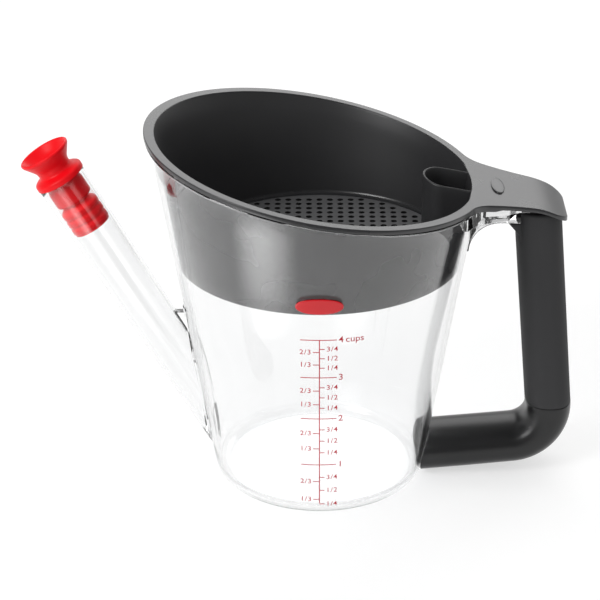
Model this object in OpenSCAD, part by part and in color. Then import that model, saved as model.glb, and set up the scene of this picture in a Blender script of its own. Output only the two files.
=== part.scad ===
// Gravy fat separator: a clear conical pitcher with a sloping rim, a welded low
// pouring spout with a stopper, a drop-in strainer whose tongue lies on the handle,
// and a closed handle with a soft grip. Millimetres, +Z up. The origin is the middle
// of the base. The spout points to -X, the handle to +X and the scale faces -Y.

/* [Pitcher] */
// Diameter that the wall's outer cone has at table height
wall_foot_d = 97.6; // [80:0.1:130]
// Lean of the wall from the vertical, in degrees
wall_lean = 9.2; // [4:0.1:14]
// Height of the sloping rim plane on the pitcher's axis
rim_h = 158.7; // [140:0.1:190]
// Slope of the rim plane, down towards the handle, in degrees
rim_tilt = 10.6; // [5:0.1:14]
// Thickness of the clear wall
wall_t = 2.2; // [1.6:0.1:3.2]
// Thickness of the floor
floor_t = 2.6; // [2:0.1:5]
// Outer radius between the floor and the wall
foot_r = 6; // [3:0.1:9]
// Inner radius between the floor and the wall
floor_fillet_r = 6.4; // [2:0.1:9]
// How far the rim bead stands out of the wall
bead_w = 1; // [0.6:0.1:1.2]
// Height of the rim bead
bead_h = 1.6; // [1:0.1:4]

/* [Strainer] */
// Gap under the strainer's flange, above the pitcher's rim
seat_gap = 0.3; // [0.2:0.05:0.6]
// Gap between the strainer's wall and the pitcher's wall
nest_gap = 0.35; // [0.25:0.05:0.8]
// Thickness of the strainer's wall
basket_t = 1.5; // [1.2:0.1:2.5]
// Thickness of the flange and of the tongue
flange_t = 2; // [1.5:0.1:3]
// How far the flange stands over the pitcher's wall
flange_over = 1.5; // [1:0.1:3]
// Depth of the strainer's underside below the rim plane, on the axis
basket_depth = 47.3; // [40:0.1:60]
// Thickness of the perforated floor
screen_t = 1.6; // [1.2:0.1:3]
// Radius between the perforated floor and the strainer's wall
screen_fillet_r = 2; // [1:0.1:4]
// Diameter of one strainer hole
hole_d = 2.8; // [2:0.1:3.4]
// Distance between neighbouring strainer holes
hole_pitch = 5; // [4.5:0.1:8]
// Solid border left round the field of holes
hole_border = 4; // [3:0.5:10]

/* [Vent chute] */
// Outer width of the chute
chute_w = 22.6; // [16:0.1:28]
// Reach of the chute in from the strainer's wall at the rim
chute_reach = 22; // [18:0.1:28]
// Wall of the chute
chute_t = 1.2; // [1:0.1:2]
// Length of the chute's oval nose
chute_nose = 9.5; // [4:0.5:12]

/* [Tongue] */
// Half width of the tongue at its end
tongue_half_w = 17.3; // [15:0.1:22]
// Radius of the tongue's hollow sides
tongue_side_r = 100; // [80:1:200]
// Radius where the tongue's side runs into the rim
tongue_neck_r = 16; // [10:0.5:22]
// Corner radius at the tongue's end
tongue_corner_r = 8; // [2:0.5:10]
// Length of the end stretch that bends down
tongue_droop_len = 15.8; // [12:0.1:24]
// Radius of that bend
tongue_droop_r = 33; // [28:1:60]
// How far the tongue's end passes the outer face of the grip
tongue_overhang = 1.9; // [0:0.1:4]
// Length and width of the bare raised oval on the tongue
oval_size = [17.2, 6];
// Height of the raised oval
oval_h = 0.6; // [0.3:0.1:1]
// Distance from the flange's edge to the oval's middle
oval_from_rim = 6.5; // [5:0.5:12]

/* [Handle] */
// Free space for the fingers between the wall and the grip, at the clear arm
finger_gap = 17.2; // [16:0.1:36]
// Lean of the grip from the vertical, outwards going down, in degrees
grip_lean = 5.3; // [2:0.1:8]
// Thickness of the grip from front to back
grip_w = 21.4; // [20:0.1:26]
// Width of the grip across the hand
grip_d = 28; // [26:0.1:32]
// Thickness of the soft sleeve over the core
sleeve_t = 3.4; // [2.5:0.1:4]
// Height of the seam between the grip and the elbow
seam_h = 36; // [34:0.5:44]
// Thickness of the lower arm
lower_arm_w = 19.2; // [18:0.1:21]
// Width of the lower arm
lower_arm_d = 32; // [28:0.1:36]
// Height of the lower arm's middle at the pitcher's wall
lower_arm_h = 10.4; // [10.3:0.1:16]
// Radius of the elbow along its middle
elbow_r = 18.7; // [16:0.1:21]
// Drop of the underside of the clear plate under the tongue, below the rim plane on the axis
clear_arm_drop = 23.5; // [22.7:0.1:28.7]
// Depth of the web under that plate
web_h = 5.6; // [4:0.1:8]
// Width of the web
web_w = 20; // [16:0.5:21]
// Radius where the web runs down into the wall
web_r = 14; // [8:0.5:18]
// Reach of the grip's small lip under the web
lip_w = 3.4; // [2:0.1:5]
// Thickness of the core round the tenon
core_wall = 2.5; // [2:0.1:3]
// Length of the clear tenon inside the handle's core
tenon_len = 28; // [20:1:40]
// Clearance round the tenon and the spigot
joint_gap = 0.15; // [0.1:0.05:0.3]
// Diameter of the clear spigot that carries the lower arm
spigot_d = 9; // [7:0.5:10]
// Length of that spigot
spigot_len = 9; // [6:0.5:12]

/* [Spout] */
// Lean of the spout from the vertical, in degrees
spout_lean = 29.4; // [27:0.1:33]
// Height at which the spout's middle line meets the wall
spout_join_h = 38.5; // [36:0.1:44]
// Length of the spout along its middle line, from the wall to the mouth
spout_len = 126.1; // [110:0.1:132]
// Outer diameter at the mouth
spout_mouth_d = 22.6; // [22:0.1:24]
// Outer diameter at the wall
spout_foot_d = 20.4; // [19.5:0.1:22]
// Wall of the spout
spout_t = 1.7; // [1.4:0.1:1.9]
// Height of the top of the web between the spout and the wall
spout_web_h = 81; // [70:1:90]
// Width of that web
spout_web_w = 4; // [3:0.5:15]
// Height of the top of the window from the pitcher into the spout
window_top_h = 28; // [22:0.5:34]

/* [Stopper] */
// Diameter of the finger dish
dish_d = 24.1; // [20:0.1:26]
// Height of the dish's lip above the mouth
dish_h = 14; // [12:0.1:20]
// Depth of the finger dish
dish_depth = 4.5; // [2:0.1:6]
// Diameter of the neck
neck_d = 15.7; // [13:0.1:18]
// Diameter of the collar that sits on the mouth
collar_d = 23.4; // [23:0.1:27]
// Thickness of the collar
collar_t = 2.6; // [2:0.1:4]
// Gap between the plug's ribs and the bore, and under the collar
plug_gap = 0.2; // [0.1:0.05:0.4]
// Length of the plug inside the spout
plug_len = 27.3; // [24:0.1:36]
// Diameter at the bottom of the groove
groove_d = 12.8; // [10:0.1:14]
// Depth of the groove's middle below the mouth
groove_at = 13.3; // [10:0.1:16]
// How far the shank and the rib roots stay inside the ribs
rib_h = 0.4; // [0.2:0.1:1.2]
// Number of sealing ribs below the groove
rib_count = 3; // [2:1:4]

/* [Badge] */
// Width and height of the bare oval badge
badge_size = [20.8, 8];
// Thickness of the badge
badge_t = 0.6; // [0.3:0.1:1.2]
// Height of the badge's middle
badge_h = 116.8; // [90:0.1:125]

/* [Hidden] */
$fn = 96;
// A size larger than the whole object, and how far solids reach into each other where they join
far = 400;
bite = 1;
slope = tan(wall_lean);
rim_slope = tan(rim_tilt);
rim_top = rim_h + 40;
clear_arm_h = rim_h - clear_arm_drop;

// Radius of the wall's outer cone at a height, and height of the rim plane at an x
function wall_r(z) = wall_foot_d / 2 + slope * z;
function rim_z(x) = rim_h - rim_slope * x;
// Radius of the outer cone where the rim plane crosses the +X side
rim_handle_r = (wall_foot_d / 2 + slope * rim_h) / (1 + slope * rim_slope);

// Points of an arc and of a superellipse, a list without its last point, and where two circles meet
function arc(c, r, from, to, steps) =
    [for (i = [0:steps]) let (t = from + (to - from) * i / steps) c + r * [cos(t), sin(t)]];
function but_last(list) = [for (i = [0:len(list) - 2]) list[i]];
function signed_power(v, e) = sign(v) * pow(abs(v), e);
function superellipse(a, b, n = 2.5, count = 40) =
    [for (i = [0:count - 1]) let (t = 360 * i / count)
        [a * signed_power(cos(t), 2 / n), b * signed_power(sin(t), 2 / n)]];
function circles_meet(c, r0, r1) =
    let (d = norm(c), a = (r0 * r0 - r1 * r1 + d * d) / (2 * d), h = sqrt(r0 * r0 - a * a), u = c / d)
    a * u + h * [u[1], -u[0]];

// Everything below the rim plane, moved up by an offset
module below_rim(offset) {
    translate([0, 0, rim_h + offset]) rotate([0, rim_tilt, 0])
        translate([-far / 2, -far / 2, -far]) cube([far, far, far]);
}

// A solid cone parallel to the wall, from one height to another
module wall_cone(offset, from = -20, to = rim_top) {
    translate([0, 0, from]) cylinder(h = to - from, r1 = wall_r(from) + offset, r2 = wall_r(to) + offset);
}

// A band of that cone between two planes parallel to the rim
module rim_band(offset, top, bottom) {
    difference() {
        intersection() {
            wall_cone(offset);
            below_rim(top);
        }
        below_rim(bottom);
    }
}

// ---- clear pitcher ----
lean_norm = sqrt(1 + slope * slope);
foot_c = [wall_r(foot_r) - foot_r * lean_norm, foot_r];
fillet_c = [wall_r(floor_t + floor_fillet_r) - wall_t - floor_fillet_r * lean_norm, floor_t + floor_fillet_r];
body_rim = -(flange_t + seat_gap);

module pitcher_outside() {
    rotate_extrude() polygon(concat(
        [[0, 0]],
        arc(foot_c, foot_r, -90, -wall_lean, 8),
        [[wall_r(rim_top), rim_top], [0, rim_top]]));
}

module pitcher_hollow() {
    top = rim_top + bite;
    rotate_extrude() polygon(concat(
        [[0, floor_t]],
        arc(fillet_c, floor_fillet_r, -90, -wall_lean, 8),
        [[wall_r(top) - wall_t, top], [0, top]]));
}

module pitcher_body() {
    color([0.93, 0.95, 0.96, 0.45]) difference() {
        union() {
            intersection() {
                pitcher_outside();
                below_rim(body_rim);
            }
            rim_band(bead_w, body_rim, body_rim - bead_h);
            clear_arm();
            spigot(spigot_d / 2, spigot_len);
        }
        pitcher_hollow();
        spout_window();
    }
}

// ---- clear upper arm, web and tenon ----
// Middle line of the grip: a point at the clear arm's height and the way up
grip_top = [wall_r(clear_arm_h) + finger_gap + grip_w / 2, clear_arm_h];
grip_up = [-sin(grip_lean), cos(grip_lean)];
function grip_x(z) = grip_top[0] + (clear_arm_h - z) * tan(grip_lean);
web_bottom = clear_arm_h - web_h;
core_w = grip_w - 2 * sleeve_t;
core_d = grip_d - 2 * sleeve_t;
tenon_w = core_w - 2 * core_wall;
tenon_d = core_d - 2 * core_wall;

// A solid of a superellipse section along the grip's middle line
module along_grip(w, d, from, to) {
    intersection() {
        translate([grip_top[0], 0, grip_top[1]]) rotate([0, -grip_lean, 0])
            translate([0, 0, -far / 2]) linear_extrude(height = far) polygon(superellipse(w / 2, d / 2));
        translate([0, -far / 2, from]) cube([far, far, to - from]);
    }
}

module clear_arm() {
    overlap = 0.3;
    inside = wall_r(web_bottom) - wall_t;
    // plate under the tongue, cut to the pitcher's rim and to the tongue's seat
    difference() {
        translate([0, 0, clear_arm_h]) linear_extrude(height = rim_top - clear_arm_h)
            polygon(tongue_plan(-flange_over, 0.8));
        over_tongue_seat();
        above_rim(body_rim);
    }
    // web that runs down into the wall with a round corner
    translate([0, web_w / 2, 0]) rotate([90, 0, 0]) linear_extrude(height = web_w) polygon(concat(
        [[inside - web_r, clear_arm_h + overlap], [inside - web_r, web_bottom - web_r]],
        arc([wall_r(web_bottom - web_r) + web_r, web_bottom - web_r], web_r, 180, 90, 8),
        [[grip_x(web_bottom), web_bottom], [grip_x(clear_arm_h), clear_arm_h + overlap]]));
    along_grip(tenon_w, tenon_d, web_bottom - tenon_len, clear_arm_h);
}

// Everything above the rim plane, moved up by an offset
module above_rim(offset) {
    translate([0, 0, rim_h + offset]) rotate([0, rim_tilt, 0])
        translate([-far / 2, -far / 2, 0]) cube([far, far, far]);
}

// The space that the tongue and what is above it take up, lowered by the seat gap
module over_tongue_seat() {
    translate([0, far / 2, -seat_gap]) rotate([90, 0, 0]) linear_extrude(height = far)
        polygon(concat(tongue_line(-flange_t), [[tongue_end + 40, rim_top + 40], [0, rim_top + 40]]));
}

// Peg on the wall that the lower arm is pushed on to
module spigot(r, len) {
    inside = wall_r(lower_arm_h) - r;
    translate([inside, 0, lower_arm_h]) rotate([0, 90, 0])
        cylinder(h = wall_r(lower_arm_h) - inside + len, r = r);
}

// ---- spout ----
spout_down = [sin(spout_lean), -cos(spout_lean)];
spout_foot = [-wall_r(spout_join_h), spout_join_h];
spout_mouth = spout_foot - spout_len * spout_down;
spout_taper = (spout_mouth_d - spout_foot_d) / 2 / spout_len;
spout_run = spout_len + 48;
bore_r = spout_mouth_d / 2 - spout_t;

// Local frame at the mouth: z runs out of the spout along its middle line
module at_mouth() {
    translate([spout_mouth[0], 0, spout_mouth[1]]) rotate([0, -spout_lean, 0]) children();
}

module spout_rod(r, from = 0) {
    at_mouth() translate([0, 0, -spout_run])
        cylinder(h = spout_run + from, r1 = r - spout_taper * spout_run, r2 = r + spout_taper * from);
}

// Where the bore opens through the pitcher's wall, near the floor
module spout_window() {
    intersection() {
        spout_rod(bore_r);
        difference() {
            wall_cone(bite, 0, window_top_h);
            wall_cone(-wall_t - 4 * bite, -20, window_top_h + bite);
        }
    }
}

module pour_spout() {
    web_x = spout_mouth[0] + (spout_mouth[1] - spout_web_h) * tan(spout_lean);
    color([0.93, 0.95, 0.96, 0.45]) difference() {
        union() {
            spout_rod(spout_mouth_d / 2);
            translate([0, spout_web_w / 2, 0]) rotate([90, 0, 0]) linear_extrude(height = spout_web_w)
                polygon([[web_x, spout_web_h], [2 * bite - wall_r(spout_web_h), spout_web_h],
                    [spout_foot[0] + 2 * bite, spout_foot[1]], spout_foot]);
        }
        spout_rod(bore_r, bite);
        wall_cone(0);
    }
}

// ---- handle ----
// The lower arm's middle line is square to the grip's. They meet at the corner.
arm_out = [cos(grip_lean), sin(grip_lean)];
arm_foot = [wall_r(lower_arm_h), lower_arm_h];
corner_run = (grip_top - arm_foot) * arm_out;
corner = arm_foot + corner_run * arm_out;
elbow_c = corner - elbow_r * arm_out + elbow_r * grip_up;

// One ring of the elbow: its middle, its outward way in the handle's plane, and its size
function ring(middle, turn, w, d) =
    let (e = [cos(grip_lean - turn), sin(grip_lean - turn)])
    [for (p = superellipse(w / 2, d / 2, 2.5, 32))
        [middle[0] + e[0] * p[0], p[1], middle[1] + e[1] * p[0]]];
function ease(t) = t * t * (3 - 2 * t);
function mix(a, b, t) = a + (b - a) * t;
bend_steps = 12;
arm_steps = 4;
elbow_rings = concat(
    [ring(elbow_c + elbow_r * arm_out + 12 * bite * grip_up, 0, grip_w, grip_d)],
    [for (i = [0:bend_steps]) let (t = i / bend_steps, a = 90 * t)
        ring(elbow_c + elbow_r * [cos(grip_lean - a), sin(grip_lean - a)], a,
            mix(grip_w, lower_arm_w, ease(t)), mix(grip_d, lower_arm_d, ease(t)))],
    [for (i = [1:arm_steps]) ring(
        elbow_c - elbow_r * grip_up - arm_out * (corner_run - elbow_r + 12 * bite) * i / arm_steps,
        90, lower_arm_w, lower_arm_d)]);

// Closed skin over a list of rings with equal counts
module skin(rings) {
    n = len(rings[0]);
    m = len(rings);
    polyhedron(
        points = [for (r = rings) for (p = r) p],
        faces = concat(
            [[for (i = [n - 1:-1:0]) i], [for (i = [0:n - 1]) (m - 1) * n + i]],
            [for (j = [0:m - 2]) for (i = [0:n - 1]) [j * n + i, j * n + (i + 1) % n, (j + 1) * n + i]],
            [for (j = [0:m - 2]) for (i = [0:n - 1])
                [j * n + (i + 1) % n, (j + 1) * n + (i + 1) % n, (j + 1) * n + i]]));
}

module handle_core() {
    color([0.13, 0.13, 0.14]) difference() {
        union() {
            intersection() {
                skin(elbow_rings);
                translate([0, -far / 2, -bite]) cube([far, far, seam_h + bite]);
            }
            along_grip(core_w, core_d, seam_h - bite, web_bottom);
        }
        wall_cone(joint_gap);
        spigot(spigot_d / 2 + joint_gap, spigot_len + joint_gap);
        along_grip(tenon_w + 2 * joint_gap, tenon_d + 2 * joint_gap,
            web_bottom - tenon_len - joint_gap, web_bottom + bite);
    }
}

module handle_grip() {
    lip_x = grip_x(web_bottom) - grip_w / 2;
    color([0.2, 0.2, 0.21]) difference() {
        union() {
            along_grip(grip_w, grip_d, seam_h, clear_arm_h);
            // small lip that reaches under the web
            translate([0, web_w / 2, 0]) rotate([90, 0, 0]) linear_extrude(height = web_w)
                polygon([[lip_x - lip_w, web_bottom], [lip_x + 2 * bite, web_bottom],
                    [lip_x + 2 * bite, web_bottom - 1.5 * lip_w]]);
        }
        along_grip(core_w, core_d, seam_h - bite, clear_arm_h + bite);
        // slot for the clear web
        translate([0, -web_w / 2 - joint_gap, web_bottom])
            cube([grip_x(web_bottom), web_w + 2 * joint_gap, web_h + bite]);
        over_tongue_seat();
    }
}

// ---- strainer ----
basket_r = -wall_t - nest_gap;
basket_in = basket_r - basket_t;
basket_floor = rim_h - basket_depth;
tongue_end = grip_x(clear_arm_h) + grip_w / 2 + tongue_overhang;
droop_x = tongue_end - tongue_droop_len;

// Outline of the tongue seen from above, grown by a margin, with its end pulled in
function tongue_plan(grow, pull) =
    let (rim = rim_handle_r + flange_over + grow,
        half = tongue_half_w + grow,
        end = tongue_end - pull,
        side_r = tongue_side_r - grow,
        neck_r = tongue_neck_r - grow,
        side_c = [tongue_end, half + side_r],
        neck_c = circles_meet(side_c, rim + neck_r, side_r - neck_r),
        on_rim = atan2(neck_c[1], neck_c[0]),
        join = atan2(neck_c[1] - side_c[1], neck_c[0] - side_c[0]),
        bend = asin((pull + tongue_corner_r) / (side_r + tongue_corner_r)),
        corner_c = [end - tongue_corner_r, side_c[1] - (side_r + tongue_corner_r) * cos(bend)],
        edge = concat(
            arc(neck_c, neck_r, on_rim + 180, join + 360, 10),
            but_last(arc(side_c, side_r, join, -90 - bend, 10)),
            arc(corner_c, tongue_corner_r, 90 - bend, 0, 8)))
    concat([[rim_handle_r * cos(40), 0]], [[rim_handle_r * cos(40), edge[0][1]]], edge,
        [for (i = [len(edge) - 1:-1:0]) [edge[i][0], -edge[i][1]]],
        [[rim_handle_r * cos(40), -edge[0][1]]]);

// The tongue's upper line seen from the side, moved by an offset
function tongue_z(x) =
    let (past = max(0, x - droop_x))
    rim_z(x) - (tongue_droop_r - sqrt(tongue_droop_r * tongue_droop_r - past * past));
function tongue_line(offset) = concat([[0, rim_z(0) + offset], [droop_x, rim_z(droop_x) + offset]],
    [for (i = [1:12]) let (x = droop_x + (tongue_droop_len + 2) * i / 12) [x, tongue_z(x) + offset]],
    [[tongue_end + 40, tongue_z(tongue_end + 2) + offset - 36]]);

// Everything under the tongue's upper line, moved by an offset, from rim to tongue end
module under_tongue_line(offset) {
    translate([0, far / 2, 0]) rotate([90, 0, 0]) linear_extrude(height = far)
        polygon(concat([[-far / 2, rim_z(-far / 2) + offset]], tongue_line(offset),
            [[tongue_end + 40, -far], [-far / 2, -far]]));
}

// Flange and tongue: one plate between two such surfaces
module plate() {
    difference() {
        union() {
            wall_cone(flange_over);
            translate([0, 0, web_bottom - 60]) linear_extrude(height = far) polygon(tongue_plan(0, 0));
        }
        under_tongue_line(-flange_t);
    }
}

// Bare raised oval where such a tongue carries its mark
module raised_oval() {
    oval_x = rim_handle_r + flange_over + oval_from_rim;
    translate([oval_x, 0, rim_z(oval_x)]) rotate([0, rim_tilt, 0]) translate([0, 0, -bite])
        linear_extrude(height = oval_h + bite) polygon(superellipse(oval_size[1] / 2, oval_size[0] / 2, 2));
}

// Plan of the chute, drawn in by a margin
chute_x = rim_handle_r + basket_in - chute_reach;
function chute_plan(inset) =
    let (nose = chute_nose - inset, half = chute_w / 2 - inset, back = rim_handle_r + 30)
    concat([[back, -half]], [[back, half]],
        [for (i = [0:12]) let (t = 90 + 15 * i)
            [chute_x + chute_nose + nose * cos(t), half * sin(t)]]);

module chute_prism(inset, from) {
    translate([0, 0, from]) linear_extrude(height = far) polygon(chute_plan(inset));
}

// Square field of holes clear of the wall and of the chute
module screen_holes() {
    field_r = wall_r(basket_floor) + basket_in - hole_border;
    count = floor(field_r / hole_pitch);
    reach = chute_x - hole_border;
    translate([0, 0, basket_floor - bite]) linear_extrude(height = screen_t + 2 * bite)
        for (i = [-count:count]) for (j = [-count:count])
            let (x = i * hole_pitch, y = j * hole_pitch)
                if (norm([x, y]) < field_r && (x < reach || abs(y) > chute_w / 2 + hole_border))
                    translate([x, y]) circle(d = hole_d, $fn = 24);
}

// Space inside the basket, with its rounded lower corner, as a full turn
module basket_hollow() {
    top = basket_floor + screen_t;
    corner = [wall_r(top + screen_fillet_r) + basket_in - screen_fillet_r, top + screen_fillet_r];
    rotate_extrude() polygon(concat(
        [[0, top]],
        arc(corner, screen_fillet_r, -90, 0, 6),
        [[wall_r(rim_top) + basket_in, rim_top], [0, rim_top]]));
}

module strainer() {
    color([0.12, 0.12, 0.13]) union() {
        difference() {
            intersection() {
                union() {
                    plate();
                    wall_cone(basket_r, basket_floor);
                }
                under_tongue_line(0);
            }
            // the bowl, but for the chute's outer form
            difference() {
                basket_hollow();
                chute_prism(0, basket_floor - bite);
            }
            // the way through the chute
            intersection() {
                chute_prism(chute_t, basket_floor - bite);
                wall_cone(basket_in, basket_floor - 2 * bite);
            }
            screen_holes();
        }
        raised_oval();
    }
}

// ---- badge ----
module badge() {
    color([0.86, 0.06, 0.1]) difference() {
        intersection() {
            wall_cone(badge_t);
            translate([0, 0, badge_h]) rotate([90, 0, 0]) linear_extrude(height = far)
                polygon(superellipse(badge_size[0] / 2, badge_size[1] / 2 * cos(wall_lean), 2.2));
        }
        wall_cone(0);
    }
}

// ---- stopper ----
dish_lip = 0.8;
edge = 0.6;

// Half of the stopper's section, from the middle of the dish round to the plug's end
module stopper_section() {
    plug_r = bore_r - plug_gap - spout_taper * plug_len;
    root_r = plug_r - rib_h;
    rib_top = groove_at + (plug_r - groove_d / 2) * 0.6;
    pitch = (plug_len - rib_top) / rib_count;
    dish = [[0, dish_h - dish_depth], [dish_d / 4, dish_h - dish_depth * 0.78],
        [dish_d / 2 - 3 * edge, dish_h - edge]];
    flare_top = [dish_d / 2 - dish_lip / 4, dish_h - dish_lip * 1.4];
    flare_bottom = [neck_d / 2, collar_t + 3 * edge];
    flare = [for (i = [1:6]) let (t = 90 * i / 7)
        [mix(flare_top[0], flare_bottom[0], sin(t)), mix(flare_top[1], flare_bottom[1], 1 - cos(t))]];
    collar = [[neck_d / 2 + edge, collar_t + edge], [collar_d / 2 - 2 * edge, collar_t],
        [collar_d / 2, collar_t - 2 * edge], [collar_d / 2, plug_gap + edge],
        [collar_d / 2 - edge, plug_gap]];
    shank = [[root_r, plug_gap], [root_r, 3 * edge - groove_at], [groove_d / 2, -groove_at]];
    // one rib: where its top, its flat and its end come along the pitch
    rib = [[plug_r, 0.18], [plug_r, 0.62], [root_r, 0.8], [root_r, 0.98]];
    ribs = [for (i = [0:rib_count - 1]) for (p = rib) [p[0], -rib_top - pitch * (i + p[1])]];
    polygon(concat(dish, arc([dish_d / 2 - dish_lip, dish_h - dish_lip], dish_lip, 110, -30, 5), flare,
        [flare_bottom], collar, shank, ribs, [[root_r - edge, -plug_len], [0, -plug_len]]));
}

module stopper() {
    color([0.85, 0.07, 0.1]) at_mouth() rotate_extrude() stopper_section();
}

pitcher_body();
pour_spout();
handle_core();
handle_grip();
strainer();
badge();
stopper();
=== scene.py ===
# %% [markdown]
# # A gravy fat separator, piece by piece
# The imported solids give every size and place. This lesson dresses them: it builds finer
# meshes for the clear jug, its spout, the strainer, the handle and the stopper, prints the
# scale on the wall, and gives each finish its own material. All lengths in the helpers are
# millimetres in the object's frame (+Z up, spout to -X, handle to +X, scale to -Y).

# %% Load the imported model
from math import asin, atan2, cos, degrees, hypot, pi, radians, sin, sqrt, tan

import bmesh
import bpy
from mathutils import Matrix, Vector
from mathutils.geometry import delaunay_2d_cdt


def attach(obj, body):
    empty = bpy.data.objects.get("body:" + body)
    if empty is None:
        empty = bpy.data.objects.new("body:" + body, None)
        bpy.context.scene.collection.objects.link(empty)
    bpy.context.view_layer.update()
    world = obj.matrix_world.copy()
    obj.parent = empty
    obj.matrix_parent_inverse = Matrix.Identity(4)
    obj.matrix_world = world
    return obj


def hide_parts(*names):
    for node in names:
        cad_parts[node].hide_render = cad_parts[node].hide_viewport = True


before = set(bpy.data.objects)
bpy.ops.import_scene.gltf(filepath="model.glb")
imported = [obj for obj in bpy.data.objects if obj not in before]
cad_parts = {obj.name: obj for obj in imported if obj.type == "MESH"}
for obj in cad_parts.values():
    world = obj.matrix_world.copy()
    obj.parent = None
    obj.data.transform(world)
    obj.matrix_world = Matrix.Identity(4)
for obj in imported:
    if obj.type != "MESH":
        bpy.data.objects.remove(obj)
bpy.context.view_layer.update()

MM = 0.001

# %% [markdown]
# The camera stands where the photographer's stood. Its place was solved from the rim, the
# base and the graduation marks, so the lens and the distance are not round numbers.

# %% Place the camera
CAMERA_AZIMUTH, CAMERA_ELEVATION, CAMERA_ROLL = 0.6072, 26.4774, -0.2652
CAMERA_DISTANCE, CAMERA_TARGET = 972.19, Vector((-9.014, 0.0, 86.422))
FOCAL_PIXELS, FRAME_PIXELS, SENSOR_MM = 2099.365, 600, 36.0

azimuth, elevation = radians(CAMERA_AZIMUTH), radians(CAMERA_ELEVATION)
back = Vector((sin(azimuth) * cos(elevation), -cos(azimuth) * cos(elevation), sin(elevation)))
camera = bpy.data.objects.new("camera", bpy.data.cameras.new("camera"))
bpy.context.scene.collection.objects.link(camera)
camera.data.sensor_width = SENSOR_MM
camera.data.lens = SENSOR_MM * FOCAL_PIXELS / FRAME_PIXELS
camera.data.clip_start, camera.data.clip_end = 0.01, 20
right = (-back).cross(Vector((0, 0, 1))).normalized()
up = right.cross(-back)
roll = radians(CAMERA_ROLL)
rolled_right, rolled_up = right * cos(roll) + up * sin(roll), up * cos(roll) - right * sin(roll)
turn = Matrix((rolled_right, rolled_up, back)).transposed().to_4x4()
camera.matrix_world = Matrix.Translation((CAMERA_TARGET + back * CAMERA_DISTANCE) * MM) @ turn
bpy.context.scene.camera = camera
print("camera at", [round(x, 3) for x in camera.matrix_world.translation])

# %% [markdown]
# The jug is a cone with a sloping rim. These few functions repeat the construction's named
# values, so that every visible mesh lands on its solid.

# %% The cone, the rim plane and the tongue's line
WALL_FOOT_R, WALL_SLOPE = 48.8, tan(radians(9.2))
RIM_H, RIM_SLOPE = 158.7, tan(radians(10.6))
WALL_T, FLOOR_T, FOOT_R, FLOOR_FILLET = 2.2, 2.6, 6.0, 6.4
FLANGE_T, FLANGE_OVER, SEAT_GAP, NEST_GAP, BASKET_T = 2.0, 1.5, 0.3, 0.35, 1.5
BASKET_FLOOR, SCREEN_T, SCREEN_FILLET = RIM_H - 47.3, 1.6, 2.0
GRIP_LEAN, GRIP_W, GRIP_D, SLEEVE_T, SEAM_H = radians(5.3), 21.4, 28.0, 3.4, 36.0
CLEAR_ARM_H, WEB_H, WEB_W, WEB_R = 135.2, 5.6, 20.0, 14.0
TONGUE_HALF_W, TONGUE_SIDE_R, TONGUE_NECK_R, TONGUE_CORNER_R = 17.3, 100.0, 16.0, 8.0
TONGUE_DROOP_LEN, TONGUE_DROOP_R, TONGUE_OVERHANG = 15.8, 33.0, 1.9


def wall_r(z):
    return WALL_FOOT_R + WALL_SLOPE * z


def rim_z(x):
    return RIM_H - RIM_SLOPE * x


def rim_point(out, lift, turn):
    """Where a cone that lies `out` from the wall meets the rim plane lifted by `lift`."""
    r = (wall_r(RIM_H + lift) + out) / (1 + WALL_SLOPE * RIM_SLOPE * cos(turn))
    return r, RIM_H + lift - RIM_SLOPE * r * cos(turn)


RIM_HANDLE_R, GRIP_FROM_WALL = rim_point(0, 0, 0)[0], 17.2
GRIP_TOP_X = wall_r(CLEAR_ARM_H) + GRIP_FROM_WALL + GRIP_W / 2
TONGUE_END = GRIP_TOP_X + GRIP_W / 2 + TONGUE_OVERHANG
DROOP_X = TONGUE_END - TONGUE_DROOP_LEN


def grip_x(z):
    return GRIP_TOP_X + (CLEAR_ARM_H - z) * tan(GRIP_LEAN)


def tongue_z(x):
    past = max(0.0, x - DROOP_X)
    return rim_z(x) - (TONGUE_DROOP_R - sqrt(TONGUE_DROOP_R**2 - past * past))


def arc(centre, r, start, end, steps):
    turns = [radians(start + (end - start) * i / steps) for i in range(steps + 1)]
    return [(centre[0] + r * cos(t), centre[1] + r * sin(t)) for t in turns]


def mix(a, b, t):
    return a + (b - a) * t


print("tongue ends at x =", round(TONGUE_END, 2), "and bends from x =", round(DROOP_X, 2))

# %% [markdown]
# Every piece is made as rings of points that are joined into quads, which Blender's bmesh
# then welds. Lofted rings keep the edges of the mesh along the real part's own lines, so
# roundings are even and reflections run smoothly over them.

# %% Rings into meshes
SAME_POINT, NO_LENGTH = 1e-7, 1e-8


def loft(rings, wrap=True, caps=False):
    """Points and quads over rings of equal length. `wrap` closes the last ring on to the first."""
    size, count = len(rings[0]), len(rings)
    points = [p for ring in rings for p in ring]
    faces = []
    for j in range(count if wrap else count - 1):
        a, b = j * size, ((j + 1) % count) * size
        faces += [(a + i, a + (i + 1) % size, b + (i + 1) % size, b + i) for i in range(size)]
    if caps:
        faces += [tuple(range(size))[::-1], tuple(range((count - 1) * size, count * size))]
    return points, faces


def round_loft(sections):
    """Points and quads over open sections that go once round an axis and meet again."""
    size, count = len(sections[0]), len(sections)
    points = [p for section in sections for p in section]
    faces = []
    for j in range(count):
        a, b = j * size, ((j + 1) % count) * size
        faces += [(a + i, a + i + 1, b + i + 1, b + i) for i in range(size - 1)]
    return points, faces


def level_circle(r, z, steps):
    return [(r * cos(2 * pi * i / steps), r * sin(2 * pi * i / steps), z) for i in range(steps)]


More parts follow.
